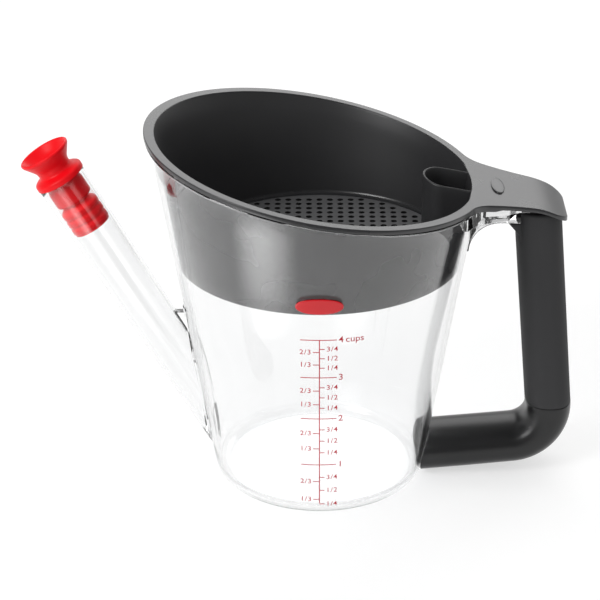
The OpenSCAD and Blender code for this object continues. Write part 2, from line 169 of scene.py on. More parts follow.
def new_mesh(name, points, faces):
    """A welded mesh object in metres with its normals turned outwards."""
    mesh = bpy.data.meshes.new(name)
    mesh.from_pydata([Vector(p) * MM for p in points], [], faces)
    work = bmesh.new()
    work.from_mesh(mesh)
    bmesh.ops.remove_doubles(work, verts=work.verts, dist=SAME_POINT)
    bmesh.ops.dissolve_degenerate(work, edges=work.edges, dist=NO_LENGTH)
    bmesh.ops.recalc_face_normals(work, faces=work.faces)
    work.to_mesh(mesh)
    work.free()
    piece = bpy.data.objects.new(name, mesh)
    bpy.context.scene.collection.objects.link(piece)
    return piece


print("points closer than", SAME_POINT, "m are welded")

# %% [markdown]
# Cuts, joins and rounded edges are Blender's own modifiers. They could stay live on each
# piece. Here they are applied at once, because the helper piece that cuts is thrown away
# and the next cut needs the mesh that the last one left.

# %% Modifiers that are applied at once
def settle(piece):
    """Applies the piece's modifiers."""
    bpy.context.view_layer.update()
    done = bpy.data.meshes.new_from_object(piece.evaluated_get(bpy.context.evaluated_depsgraph_get()))
    piece.modifiers.clear()
    piece.data = done
    return piece


def carve(piece, other, operation):
    """Exact boolean with a helper piece, which is then removed."""
    cut = piece.modifiers.new("cut", "BOOLEAN")
    cut.operation, cut.object, cut.solver = operation, other, "EXACT"
    settle(piece)
    bpy.data.objects.remove(other)
    return piece


def round_edges(piece, width, segments=3, angle=30):
    bevel = piece.modifiers.new("round", "BEVEL")
    bevel.width, bevel.segments = width * MM, segments
    bevel.limit_method, bevel.angle_limit = "ANGLE", radians(angle)
    return settle(piece)


print("modifiers: cut by an exact boolean, round by a bevel")

# %% [markdown]
# Every finished piece is shaded smooth up to an angle, gets its material, and is told which
# body it rides on when the strainer is lifted or the stopper is pulled. One function does
# that for all of them, so that no piece is left behind.

# %% Finishing a piece
def finish_piece(piece, material, body, sharp=35, stands_for=()):
    """Smooth shading up to an angle, a material, and the body that the piece rides on."""
    piece.data.materials.clear()
    piece.data.materials.append(material)
    piece.data.shade_smooth()
    piece.data.set_sharp_from_angle(angle=radians(sharp))
    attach(piece, body)
    if stands_for:
        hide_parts(*stands_for)
    print(piece.name, "rides on", body, "with", len(piece.data.polygons), "faces")
    return piece


# %% [markdown]
# Two effects are shared by several finishes. The first is the fine grain that a spark-eroded
# mould leaves on satin plastic. The second is the slow waviness and the thin haze of
# handling that keep a clear or glossy moulding from looking computed. They could be painted
# or set in every material anew. One shader node group makes both, gives out a roughness, a
# normal and a mask, and every material sets its own values.

# %% Nodes for the shared surface
def make_group(name, inputs, outputs):
    group = bpy.data.node_groups.new(name, "ShaderNodeTree")
    for label, kind, value in inputs:
        socket = group.interface.new_socket(label, in_out="INPUT", socket_type=kind)
        socket.default_value = value
    for label, kind in outputs:
        group.interface.new_socket(label, in_out="OUTPUT", socket_type=kind)
    return group, group.nodes.new("NodeGroupInput"), group.nodes.new("NodeGroupOutput")


def noise_node(tree, scale, detail, vector):
    noise = tree.nodes.new("ShaderNodeTexNoise")
    noise.inputs["Scale"].default_value = scale
    noise.inputs["Detail"].default_value = detail
    tree.links.new(vector, noise.inputs["Vector"])
    return noise


print("node helpers are ready")

# %% [markdown]
# The marks are a soft noise that a smooth step spreads out. The wave and the grain are two
# bumps in a row, a slow shallow one and a fine one, so either can be left at nought.

# %% The shared surface
MARKS_SCALE, MARKS_LOW, MARKS_HIGH = 30.0, 0.2, 0.8
WAVE_DEPTH, GRAIN_DEPTH = 0.001, 0.0001


def moulded_surface():
    """Group: grain and slow waviness in the normal, and handling marks in the roughness."""
    group, given, result = make_group(
        "moulded_surface",
        [("Roughness", "NodeSocketFloat", 0.3), ("Uneven", "NodeSocketFloat", 0.05),
         ("Grain", "NodeSocketFloat", 0.1), ("Grain Scale", "NodeSocketFloat", 2500.0),
         ("Wave", "NodeSocketFloat", 0.1), ("Wave Scale", "NodeSocketFloat", 30.0)],
        [("Roughness", "NodeSocketFloat"), ("Normal", "NodeSocketVector"), ("Mask", "NodeSocketFloat")])
    place = group.nodes.new("ShaderNodeTexCoord").outputs["Object"]
    marks = noise_node(group, MARKS_SCALE, 2.0, place)
    spread = group.nodes.new("ShaderNodeMapRange")
    spread.interpolation_type = "SMOOTHSTEP"
    spread.inputs["From Min"].default_value = MARKS_LOW
    spread.inputs["From Max"].default_value = MARKS_HIGH
    group.links.new(marks.outputs["Fac"], spread.inputs["Value"])
    added = group.nodes.new("ShaderNodeMath")
    added.operation = "MULTIPLY_ADD"
    group.links.new(spread.outputs["Result"], added.inputs[0])
    group.links.new(given.outputs["Uneven"], added.inputs[1])
    group.links.new(given.outputs["Roughness"], added.inputs[2])
    wave = noise_node(group, 1.0, 1.0, place)
    group.links.new(given.outputs["Wave Scale"], wave.inputs["Scale"])
    slow = group.nodes.new("ShaderNodeBump")
    slow.inputs["Distance"].default_value = WAVE_DEPTH
    group.links.new(given.outputs["Wave"], slow.inputs["Strength"])
    group.links.new(wave.outputs["Fac"], slow.inputs["Height"])
    grain = noise_node(group, 1.0, 2.0, place)
    group.links.new(given.outputs["Grain Scale"], grain.inputs["Scale"])
    fine = group.nodes.new("ShaderNodeBump")
    fine.inputs["Distance"].default_value = GRAIN_DEPTH
    group.links.new(given.outputs["Grain"], fine.inputs["Strength"])
    group.links.new(grain.outputs["Fac"], fine.inputs["Height"])
    group.links.new(slow.outputs["Normal"], fine.inputs["Normal"])
    group.links.new(added.outputs["Value"], result.inputs["Roughness"])
    group.links.new(fine.outputs["Normal"], result.inputs["Normal"])
    group.links.new(spread.outputs["Result"], result.inputs["Mask"])
    return group


MOULDED_SURFACE = moulded_surface()
print("shared group:", MOULDED_SURFACE.name)

# %% [markdown]
# A finish is the Principled shader with a colour that wanders between two near shades, as a
# real moulding's does. The clear plastic needs two things more. A lamp's light passes it, so
# that it casts only a pale shadow, and thick ways through it come out a little grey.

# %% A material over the shared surface
def finish_material(name, dark, light, surface, **sockets):
    """A Principled material whose colour wanders between two near shades, over the shared surface."""
    material = bpy.data.materials.new(name)
    material.use_nodes = True
    tree = material.node_tree
    shader = tree.nodes["Principled BSDF"]
    group = tree.nodes.new("ShaderNodeGroup")
    group.node_tree = MOULDED_SURFACE
    for label, value in surface.items():
        group.inputs[label].default_value = value
    blend = tree.nodes.new("ShaderNodeMix")
    blend.data_type = "RGBA"
    blend.inputs["A"].default_value, blend.inputs["B"].default_value = (*dark, 1), (*light, 1)
    tree.links.new(group.outputs["Mask"], blend.inputs["Factor"])
    tree.links.new(blend.outputs["Result"], shader.inputs["Base Color"])
    tree.links.new(group.outputs["Roughness"], shader.inputs["Roughness"])
    tree.links.new(group.outputs["Normal"], shader.inputs["Normal"])
    for label, value in sockets.items():
        shader.inputs[label.replace("_", " ")].default_value = value
    return material


def let_lamps_through(material, tint):
    """Clear plastic casts only a pale shadow: a lamp's shadow rays pass it, tinted."""
    tree = material.node_tree
    shader, result = tree.nodes["Principled BSDF"], tree.nodes["Material Output"]
    passing = tree.nodes.new("ShaderNodeBsdfTransparent")
    passing.inputs["Color"].default_value = (*tint, 1)
    path = tree.nodes.new("ShaderNodeLightPath")
    choice = tree.nodes.new("ShaderNodeMixShader")
    tree.links.new(path.outputs["Is Shadow Ray"], choice.inputs["Fac"])
    tree.links.new(shader.outputs["BSDF"], choice.inputs[1])
    tree.links.new(passing.outputs["BSDF"], choice.inputs[2])
    tree.links.new(choice.outputs["Shader"], result.inputs["Surface"])


def absorb_along_path(material, colour, density):
    """Thick ways through the plastic come out a little grey, as at the wall's edges."""
    tree = material.node_tree
    inside = tree.nodes.new("ShaderNodeVolumeAbsorption")
    inside.inputs["Color"].default_value = (*colour, 1)
    inside.inputs["Density"].default_value = density
    tree.links.new(inside.outputs["Volume"], tree.nodes["Material Output"].inputs["Volume"])


print("materials so far:", len(bpy.data.materials))

# %% [markdown]
# The jug is a clear glossy plastic, so it gets full transmission and a plain refractive
# index. Its roughness is not quite zero, as a moulding's never is.

# %% The clear plastic
CLEAR = finish_material(
    "clear_polished_plastic", (0.968, 0.970, 0.971), (0.964, 0.967, 0.968),
    {"Roughness": 0.006, "Uneven": 0.003, "Grain": 0.0, "Wave": 0.002, "Wave Scale": 40.0},
    Transmission_Weight=1.0, IOR=1.52, Metallic=0.0)
let_lamps_through(CLEAR, (0.95, 0.955, 0.96))
absorb_along_path(CLEAR, (0.3, 0.3, 0.31), 12.0)
print("clear plastic:", CLEAR.name)

# %% [markdown]
# The strainer is one black plastic with several textures: satin outside, and finer and matter
# inside the basket. Its perforated floor is coloured paler than the rest, which is painted
# light for the light on its top, and the walls of its holes are painted near black as
# painted shade. The grip is a matt soft rubber, and the core under it a harder and glossier
# black. One black for all would be quicker, but then the floor and the grip would not stand
# out as they do.

# %% The blacks
STRAINER_BLACK = finish_material(
    "satin_black_strainer", (0.021, 0.021, 0.0225), (0.024, 0.024, 0.0255),
    {"Roughness": 0.27, "Uneven": 0.012, "Grain": 0.0, "Wave": 0.0}, IOR=1.63)
INSIDE_BLACK = finish_material(
    "fine_matt_black_inside", (0.021, 0.021, 0.0225), (0.024, 0.024, 0.0255),
    {"Roughness": 0.45, "Uneven": 0.02, "Grain": 0.0, "Wave": 0.0}, IOR=1.6)
# Painted light: the floor's base colour is much paler than the rest of the same black plastic, for the light
# that falls on its top.
SCREEN_PAINTED_LIGHT = finish_material(
    "matt_black_screen_painted_light", (0.095, 0.095, 0.098), (0.104, 0.104, 0.107),
    {"Roughness": 0.5, "Uneven": 0.03, "Grain": 0.1, "Grain Scale": 5000.0, "Wave": 0.0}, IOR=1.5)
# Painted shade: the walls of the holes are near black and barely glossy, for the shade inside the holes.
HOLE_PAINTED_SHADE = finish_material(
    "painted_shade_hole_walls", (0.004, 0.004, 0.004), (0.006, 0.006, 0.006),
    {"Roughness": 0.8, "Uneven": 0.03, "Grain": 0.1, "Wave": 0.0}, IOR=1.25)
CORE_BLACK = finish_material(
    "black_handle_core", (0.012, 0.012, 0.0125), (0.015, 0.015, 0.0155),
    {"Roughness": 0.3, "Uneven": 0.02, "Grain": 0.0, "Wave": 0.004}, IOR=1.43)
GRIP_RUBBER = finish_material(
    "soft_grip_rubber", (0.027, 0.027, 0.0285), (0.031, 0.031, 0.0325),
    {"Roughness": 0.7, "Uneven": 0.06, "Grain": 0.25, "Grain Scale": 1800.0, "Wave": 0.03}, IOR=1.45)
print("blacks:", [m.name for m in bpy.data.materials if "black" in m.name])

# %% [markdown]
# The stopper is a silky red silicone, so its gloss is wide and weak. The badge is a glossy
# red moulding, and the scale a dark red ink that hardly shines.

# %% The reds
SILICONE_RED = finish_material(
    "red_silicone", (0.70, 0.002, 0.006), (0.76, 0.003, 0.009),
    {"Roughness": 0.36, "Uneven": 0.04, "Grain": 0.05, "Wave": 0.01},
    IOR=1.4, Specular_IOR_Level=0.25)
BADGE_RED = finish_material(
    "glossy_badge_red", (0.52, 0.005, 0.01), (0.56, 0.007, 0.013),
    {"Roughness": 0.12, "Uneven": 0.04, "Grain": 0.02, "Wave": 0.02}, IOR=1.5)
SCALE_INK = finish_material(
    "dark_red_ink", (0.44, 0.008, 0.022), (0.5, 0.012, 0.03),
    {"Roughness": 0.5, "Uneven": 0.08, "Grain": 0.05, "Wave": 0.0}, IOR=1.45)
print("finishes:", [m.name for m in bpy.data.materials])

# %% [markdown]
# The clear jug is one injection moulding. Its wall is lofted section by section round the
# axis, because each section ends at another height under the sloping rim. The window into
# the spout is cut out afterwards, and the arm that carries the handle is joined on.

# %% The jug's wall and floor
ROUND_STEPS, WALL_ROWS, CORNER_STEPS = 288, 16, 14
BASE_RINGS = (0, 15, 30)
# The rim's bead as (out, lift) from the wall's outer edge, up the outside and over the top
RIM_BEAD = [(0, -2.6), (0.2, -2.25), (0.9, -1.9), (1.4, -1.7), (1.62, -1.5), (1.7, -1.2),
            (1.7, -0.85), (1.62, -0.45), (1.35, -0.14), (0.95, 0), (0.4, 0), (-0.2, 0), (-1.0, 0),
            (-1.8, 0), (-2.08, -0.12), (-WALL_T, -0.4)]


def between(low, high, rows):
    """Points that divide a straight run into rows, without its two ends."""
    return [(mix(low[0], high[0], i / rows), mix(low[1], high[1], i / rows)) for i in range(1, rows)]


def jug_section(turn):
    """Section at one angle, from the middle of the base round to the floor's middle."""
    lean = sqrt(1 + WALL_SLOPE**2)
    lean_turn = degrees(atan2(WALL_SLOPE, 1))
    foot = (wall_r(FOOT_R) - FOOT_R * lean, FOOT_R)
    fillet_z = FLOOR_T + FLOOR_FILLET
    fillet = (wall_r(fillet_z) - WALL_T - FLOOR_FILLET * lean, fillet_z)
    seat = -(FLANGE_T + SEAT_GAP)
    outside = [(r, 0) for r in BASE_RINGS] + [(foot[0] - 1, 0)]
    outside += arc(foot, FOOT_R, -90, -lean_turn, CORNER_STEPS)
    rim = [rim_point(out, seat + lift, turn) for out, lift in RIM_BEAD]
    inside = arc(fillet, FLOOR_FILLET, -lean_turn, -90, CORNER_STEPS)
    up_wall, down_wall = between(outside[-1], rim[0], WALL_ROWS), between(rim[-1], inside[0], WALL_ROWS)
    floor_line = [(r, FLOOR_T) for r in BASE_RINGS[::-1]]
    return outside + up_wall + rim + down_wall + inside + floor_line


jug_sections = []
for i in range(ROUND_STEPS):
    turn = 2 * pi * i / ROUND_STEPS
    jug_sections.append([(r * cos(turn), r * sin(turn), z) for r, z in jug_section(turn)])
jug = new_mesh("clear_jug", *round_loft(jug_sections))
print("wall sections:", ROUND_STEPS, "faces:", len(jug.data.polygons))

# %% [markdown]
# The spout leaves the wall near the floor and leans away. Its points are easiest to give in
# its own frame, with the way up its axis counted from the mouth. Where a line of the tube
# meets the jug's cone is found by bisection, which needs no formula.

# %% The spout's own frame
SPOUT_LEAN, SPOUT_JOIN_H, SPOUT_LEN = radians(29.4), 38.5, 126.1
SPOUT_MOUTH_R, SPOUT_FOOT_R, SPOUT_T = 11.3, 10.2, 1.7
SPOUT_WEB_H, SPOUT_WEB_W, WINDOW_TOP = 81.0, 4.0, 28.0
SPOUT_AXIS = Vector((-sin(SPOUT_LEAN), 0, cos(SPOUT_LEAN)))
SPOUT_SIDE = Vector((cos(SPOUT_LEAN), 0, sin(SPOUT_LEAN)))
MOUTH = Vector((-wall_r(SPOUT_JOIN_H), 0, SPOUT_JOIN_H)) + SPOUT_LEN * SPOUT_AXIS
SPOUT_TAPER = (SPOUT_MOUTH_R - SPOUT_FOOT_R) / SPOUT_LEN
BORE_R = SPOUT_MOUTH_R - SPOUT_T
WAY_NEAR, WAY_FAR, HALVINGS, WELD_STEPS = -40.0, -SPOUT_LEN - 48.0, 48, 96


def spout_point(r, turn, up):
    """A point in the spout's frame: radius at the mouth's level, angle, and way out of the mouth."""
    out = r + SPOUT_TAPER * up
    return MOUTH + SPOUT_AXIS * up + SPOUT_SIDE * (out * cos(turn)) + Vector((0, out * sin(turn), 0))


def way_down(r, turn, reached):
    """How far down the spout a line at one angle runs until `reached` says so, by bisection."""
    near, far = WAY_NEAR, WAY_FAR
    for _ in range(HALVINGS):
        middle = (near + far) / 2
        near, far = (near, middle) if reached(spout_point(r, turn, middle)) else (middle, far)
    return (near + far) / 2


def spout_ring(r, reached):
    """A ring round the tube, each of its lines followed down until `reached` says so."""
    turns = [2 * pi * i / WELD_STEPS for i in range(WELD_STEPS)]
    return [spout_point(r, t, way_down(r, t, reached)) for t in turns]


def weld_ring(r, out):
    """Where the lines of the spout come within `out` of the jug's cone."""
    return spout_ring(r, lambda p: hypot(p.x, p.y) < wall_r(p.z) + out)


print("spout's mouth at", [round(x, 2) for x in MOUTH])

# %% [markdown]
# The spout stands on a raised pad that is moulded on the wall, with a narrow tail above it.
# The weld runs along the top of that pad, where a hair's breadth is left open as a dark line.
# Pad and tail are joined on with a boolean, because they follow both the cone and the tube.

# %% The pad and its tail
WELD_OUT, WELD_OPEN, PAD_SINK, PAD_BORE_GAP = 1.0, 0.07, 1.2, 0.15
TAIL_SIZES = ((55.0, 2.6), (70.0, 2.6), (82.6, 2.6), (83.5, 2.2), (84.0, 1.4))
TAIL_DRAFT = 0.2

pad_in = BORE_R + PAD_BORE_GAP
pad = [weld_ring(r, out) for r, out in ((SPOUT_MOUTH_R, WELD_OUT - WELD_OPEN), (SPOUT_MOUTH_R, -PAD_SINK),
                                        (pad_in, -PAD_SINK), (pad_in, WELD_OUT - WELD_OPEN))]
carve(jug, new_mesh("pad", *loft(pad)), "UNION")
tail = []
for z, half in TAIL_SIZES:
    near, far = -(wall_r(z) - PAD_SINK), -(wall_r(z) + WELD_OUT - WELD_OPEN)
    tail.append([(near, half, z), (far, half - TAIL_DRAFT, z), (far, TAIL_DRAFT - half, z), (near, -half, z)])
carve(jug, new_mesh("tail", *loft(tail, wrap=False, caps=True)), "UNION")
print("pad and tail joined; jug faces:", len(jug.data.polygons))

# %% [markdown]
# The spout drinks from the bottom of the jug through a window in the wall, so the fat that
# floats on top stays behind. The tube's own bore, followed down to level heights, cuts it.

# %% The window into the spout
WINDOW_FOOT, WINDOW_ROWS = 4.6, 12
window_rings = []
for row in range(WINDOW_ROWS + 1):
    level = mix(WINDOW_TOP, WINDOW_FOOT, row / WINDOW_ROWS)
    window_rings.append(spout_ring(BORE_R, lambda p: p.z < level))
carve(jug, new_mesh("window", *loft(window_rings, wrap=False, caps=True)), "DIFFERENCE")
print("jug faces after the window:", len(jug.data.polygons))

# %% [markdown]
# The clear arm under the tongue is part of the same moulding: a plate that follows the
# tongue's outline, a narrower web under it that runs down into the wall with a round corner,
# and a tenon that is pushed into the handle's black core. The outline comes first. It is
# drawn with tangent arcs, as a maker would lay it out, and the strainer's tongue uses it too.

# %% Outline of the tongue
NECK_START = 26


def circles_meet(c, r0, r1):
    """One of the two points at r0 from the origin and r1 from the point c."""
    d = hypot(*c)
    a = (r0 * r0 - r1 * r1 + d * d) / (2 * d)
    h = sqrt(r0 * r0 - a * a)
    u = (c[0] / d, c[1] / d)
    return a * u[0] + h * u[1], a * u[1] - h * u[0]


def tongue_edge(grow, pull, steps=(16, 30, 12)):
    """Half of the tongue's outline, from the rim out to the middle of its end, on the +Y side."""
    half, end = TONGUE_HALF_W + grow, TONGUE_END - pull
    side_r, neck_r = TONGUE_SIDE_R - grow, TONGUE_NECK_R - grow
    rim = rim_point(FLANGE_OVER, 0, radians(NECK_START))[0] + grow
    side = (TONGUE_END, half + side_r)
    neck = circles_meet(side, rim + neck_r, side_r - neck_r)
    on_rim = degrees(atan2(neck[1], neck[0]))
    join = degrees(atan2(neck[1] - side[1], neck[0] - side[0])) % 360
    bend = asin((pull + TONGUE_CORNER_R) / (side_r + TONGUE_CORNER_R))
    corner = (end - TONGUE_CORNER_R, side[1] - (side_r + TONGUE_CORNER_R) * cos(bend))
    edge = arc(neck, neck_r, on_rim + 180, join, steps[0])
    edge += arc(side, side_r, join, 270 - degrees(bend), steps[1])[1:]
    edge += arc(corner, TONGUE_CORNER_R, 90 - degrees(bend), 0, steps[2])[1:]
    return edge, on_rim


TONGUE_EDGE, NECK_TURN = tongue_edge(0, 0)
print("tongue leaves the rim at", round(NECK_TURN, 1), "degrees; end at", TONGUE_EDGE[-1])

# %% [markdown]
# Two kinds of section are needed again and again: a rectangle with round corners for plates,
# and a superellipse, an ellipse pulled towards a rectangle, for the handle and what fits it.

# %% Sections for the arm and the handle
ARM_TOP_GAP = FLANGE_T + SEAT_GAP


def clamped(t):
    return min(1.0, max(0.0, t))


def ease(t):
    return t * t * (3 - 2 * t)


def half_width(edge, x):
    """Half width of an outline at x, from its points."""
    for (x0, y0), (x1, y1) in zip(edge, edge[1:]):
        if min(x0, x1) <= x <= max(x0, x1) and x1 != x0:
            return mix(y0, y1, (x - x0) / (x1 - x0))
    return edge[0][1] if x < edge[0][0] else edge[-1][1]


def rounded_box_ring(x, half_y, low, high, r, steps=4):
    """Ring of a rectangle with round corners in the plane of x."""
    r = max(0.02, min(r, (high - low) / 2.2, half_y / 2.2))
    corners = [((half_y - r, high - r), 0), ((-half_y + r, high - r), 90),
               ((-half_y + r, low + r), 180), ((half_y - r, low + r), 270)]
    return [(x, y, z) for c, start in corners for y, z in arc(c, r, start, start + 90, steps)]


def superellipse(a, b, n=2.5, count=96):
    points = []
    for i in range(count):
        c, s = cos(2 * pi * i / count), sin(2 * pi * i / count)
        x, y = a * abs(c) ** (2 / n), b * abs(s) ** (2 / n)
        points.append((x if c > 0 else -x, y if s > 0 else -y))
    return points


def plate(name, side, width):
    """A flat piece with a given side view, as wide as `width` across the handle."""
    rings = [[(x, y, z) for x, z in side] for y in (-width / 2, width / 2)]
    return new_mesh(name, *loft(rings, wrap=False, caps=True))


print("the clear arm lies", ARM_TOP_GAP, "mm under the tongue's top")

# %% [markdown]
# The plate grows thinner towards the handle, where it runs out between tongue and sleeve. It
# is lofted section by section, so that its top can follow the tongue's bend.

# %% The clear plate under the tongue
ARM_START, ARM_END, PLATE_STEPS, PLATE_ROUND, PLATE_PULL, PLATE_MIN_T = 56.0, 104.9, 48, 0.5, 0.8, 0.08
NARROW_FROM, NARROW_RUN, NARROW_BY = 84.0, 5.0, 0.4

plate_edge = tongue_edge(-FLANGE_OVER, PLATE_PULL)[0]
plate_rings = []
for i in range(PLATE_STEPS + 1):
    x = mix(ARM_START, ARM_END, i / PLATE_STEPS)
    high = tongue_z(x) - ARM_TOP_GAP
    low = min(CLEAR_ARM_H, high - PLATE_MIN_T)
    narrow = 1 - NARROW_BY * clamped((x - NARROW_FROM) / NARROW_RUN)
    plate_rings.append(rounded_box_ring(x, half_width(plate_edge, x) * narrow, low, high, PLATE_ROUND))
arm = new_mesh("arm_plate", *loft(plate_rings, wrap=False, caps=True))
print("plate faces:", len(arm.data.polygons))

# %% [markdown]
# The web carries the load down into the wall, and the tenon holds the handle's core. Plate
# and web start a little inside the wall, and a cone cuts off what would stand in the jug, so
# the clear arm and the jug become one piece of plastic without a seam.

# %% The web, the tenon and the spigot
WEB_BITE, WEB_RISE, WEB_ROUND = 16, 0.4, 0.7
TENON_INSET, TENON_LEN, TENON_DROP = 2.5, 28.0, 0.6
ARM_BITE, INNER_CONE_H, INNER_CONE_STEPS = 0.9, (60, 190), 144
LOWER_ARM_H, SPIGOT_R, SPIGOT_LEN, SPIGOT_BITE, SPIGOT_CHAMFER = 10.4, 4.5, 9.0, 1.2, 0.4

web_low = CLEAR_ARM_H - WEB_H
web_wall = wall_r(web_low - WEB_R)
web_side = [(web_wall - WEB_BITE, CLEAR_ARM_H + WEB_RISE), (web_wall - WEB_BITE, web_low - WEB_R)]
web_side += arc((web_wall + WEB_R, web_low - WEB_R), WEB_R, 180, 90, 20)
web_side += [(grip_x(web_low), web_low), (grip_x(CLEAR_ARM_H), CLEAR_ARM_H + WEB_RISE)]
carve(arm, round_edges(plate("web", web_side, WEB_W), WEB_ROUND, 3, 40), "UNION")

core_w, core_d = GRIP_W - 2 * SLEEVE_T, GRIP_D - 2 * SLEEVE_T
tenon_line = superellipse(core_w / 2 - TENON_INSET, core_d / 2 - TENON_INSET, count=48)
tenon_rings = [[(grip_x(z) + x, y, z) for x, y in tenon_line]
               for z in (web_low - TENON_LEN, CLEAR_ARM_H - TENON_DROP)]
carve(arm, new_mesh("tenon", *loft(tenon_rings, wrap=False, caps=True)), "UNION")

inner_rings = [level_circle(wall_r(z) - WALL_T + ARM_BITE, z, INNER_CONE_STEPS) for z in INNER_CONE_H]
carve(arm, new_mesh("inner_cone", *loft(inner_rings, wrap=False, caps=True)), "DIFFERENCE")
carve(jug, arm, "UNION")

spigot_in, spigot_out = wall_r(LOWER_ARM_H) - SPIGOT_BITE, wall_r(LOWER_ARM_H) + SPIGOT_LEN
spigot_line = ((spigot_in, SPIGOT_R), (spigot_out - SPIGOT_CHAMFER, SPIGOT_R),
               (spigot_out, SPIGOT_R - SPIGOT_CHAMFER))
spigot_rings = [[(x, y, LOWER_ARM_H + z) for y, z, _ in level_circle(r, 0, 48)] for x, r in spigot_line]
carve(jug, new_mesh("spigot", *loft(spigot_rings, wrap=False, caps=True)), "UNION")
finish_piece(jug, CLEAR, "jug", sharp=32, stands_for=["pitcher_body"])

# %% [markdown]
# The spout is a separate clear tube, welded to the pad along a long oval. Every line down
# the tube ends where it meets the pad, so the lower end is found line by line.

# %% The spout
LIP_R, TUBE_STEPS, TUBE_ROWS = 0.2, 144, 40


def in_weld(p):
    return hypot(p.x, p.y) < wall_r(p.z) + WELD_OUT


def spout_line(turn):
    """Section of the tube's wall at one angle: up the outside, over the lip and down the bore."""
    foot_out, foot_in = (way_down(r, turn, in_weld) for r in (SPOUT_MOUTH_R, BORE_R))
    lip = arc((SPOUT_MOUTH_R - LIP_R, -LIP_R), LIP_R, 0, 90, 3)
    lip += arc((BORE_R + LIP_R, -LIP_R), LIP_R, 90, 180, 3)
    outer = [spout_point(SPOUT_MOUTH_R, turn, mix(foot_out, -LIP_R, i / TUBE_ROWS)) for i in range(TUBE_ROWS)]
    inner = [spout_point(BORE_R, turn, mix(-LIP_R, foot_in, i / TUBE_ROWS)) for i in range(1, TUBE_ROWS + 1)]
    return outer + [spout_point(r, turn, up) for r, up in lip] + inner


spout = new_mesh("clear_spout", *loft([spout_line(2 * pi * i / TUBE_STEPS) for i in range(TUBE_STEPS)]))
print("spout faces:", len(spout.data.polygons))

# %% [markdown]
# A flat web fills the crotch between spout and jug and stiffens the long tube. It is drawn
# too large, and the bore and the jug's cone cut it to fit.

# %% The web between spout and jug
CROTCH_BITE, CROTCH_FOOT_BITE, CROTCH_ROUND, BORE_BITE = 4, 6, 0.2, 0.5
BORE_FROM, BORE_TO, CONE_FROM, CONE_TO = -150.0, -20.0, -5, 120

web_x = MOUTH.x + (MOUTH.z - SPOUT_WEB_H) * tan(SPOUT_LEAN)
crotch = [(web_x, SPOUT_WEB_H), (CROTCH_BITE - wall_r(SPOUT_WEB_H), SPOUT_WEB_H),
          (CROTCH_FOOT_BITE - wall_r(SPOUT_JOIN_H), SPOUT_JOIN_H),
          (-wall_r(SPOUT_JOIN_H) - CROTCH_BITE, SPOUT_JOIN_H + CROTCH_BITE)]
spout_web = round_edges(plate("spout_web", crotch, SPOUT_WEB_W), CROTCH_ROUND, 2, 40)
bore_rings = [[spout_point(BORE_R + BORE_BITE, 2 * pi * i / WELD_STEPS, up) for i in range(WELD_STEPS)]
              for up in (BORE_FROM, BORE_TO)]
carve(spout_web, new_mesh("bore", *loft(bore_rings, wrap=False, caps=True)), "DIFFERENCE")
cone_rings = [level_circle(wall_r(z) + WELD_OUT, z, ROUND_STEPS) for z in (CONE_FROM, CONE_TO)]
carve(spout_web, new_mesh("cone", *loft(cone_rings, wrap=False, caps=True)), "DIFFERENCE")
carve(spout, spout_web, "UNION")
finish_piece(spout, CLEAR, "jug", sharp=32, stands_for=["pour_spout"])

# %% [markdown]
# The handle is a hard black core that starts on the jug's spigot, bends up through the elbow
# and goes on, thinner, inside the soft sleeve. One loft along that path makes it, with
# superelliptic sections that grow from the arm's size to the grip's. First comes the path.

# %% The handle's path
LOWER_ARM_W, LOWER_ARM_D, ELBOW_R = 19.2, 32.0, 18.7
GRIP_UP = Vector((-sin(GRIP_LEAN), 0, cos(GRIP_LEAN)))
ARM_OUT = Vector((cos(GRIP_LEAN), 0, sin(GRIP_LEAN)))
arm_foot = Vector((wall_r(LOWER_ARM_H), 0, LOWER_ARM_H))
grip_top = Vector((GRIP_TOP_X, 0, CLEAR_ARM_H))
corner_run = (grip_top - arm_foot).dot(ARM_OUT)
corner = arm_foot + corner_run * ARM_OUT
elbow_c = corner - ELBOW_R * ARM_OUT + ELBOW_R * GRIP_UP
CORE_GAP, SECTION_STEPS = 0.15, 96
SLIDE_NEAR, SLIDE_FAR, SLIDE_HALVINGS = -40.0, 60.0, 40


def core_ring(middle, turn, w, d, inset=0.0, n=2.5):
    """Ring of the core: `turn` is how far the path has bent from the grip towards the arm."""
    out = Vector((cos(GRIP_LEAN - turn), 0, sin(GRIP_LEAN - turn)))
    ring = superellipse(w / 2 - inset, d / 2 - inset, n, SECTION_STEPS)
    return [middle + out * a + Vector((0, b, 0)) for a, b in ring]


def at_level(ring, z):
    """The ring slid along the grip on to a level plane."""
    return [p + GRIP_UP * ((z - p.z) / GRIP_UP.z) for p in ring]


def on_wall(ring, gap):
    """The ring slid along the lower arm on to the jug's wall."""
    slid = []
    for p in ring:
        near, far = SLIDE_NEAR, SLIDE_FAR
        for _ in range(SLIDE_HALVINGS):
            t = (near + far) / 2
            q = p - ARM_OUT * t
            near, far = (near, t) if hypot(q.x, q.y) < wall_r(q.z) + gap else (t, far)
        slid.append(p - ARM_OUT * near)
    return slid


print("the elbow bends round", [round(x, 1) for x in elbow_c])

# %% [markdown]
# The loft runs from the top down. At the seam the core steps out to the sleeve's own size,
# through the bend its section grows rounder, and on its last stretch it widens a little to
# meet the wall. The last rings are slid on to the jug's cone one point at a time.

# %% The handle's core
BEND_STEPS, GRIP_ROUND, ARM_ROUND, ARM_FLARE = 30, 2.5, 2.3, 0.45
ARM_RINGS, ARM_SHORT = 6, 14
CORE_TOP_DROP, CORE_SEAM_RISE = 0.2, 0.02
# Rounded edges as (inset, drop below the seam) and (inset, gap to the wall)
SEAM_EDGE, FOOT_EDGE = ((0.4, 0), (0.1, 0.14), (0, 0.45)), ((0, 0.8), (0, 0.35), (0.15, 0.08), (0.5, 0))

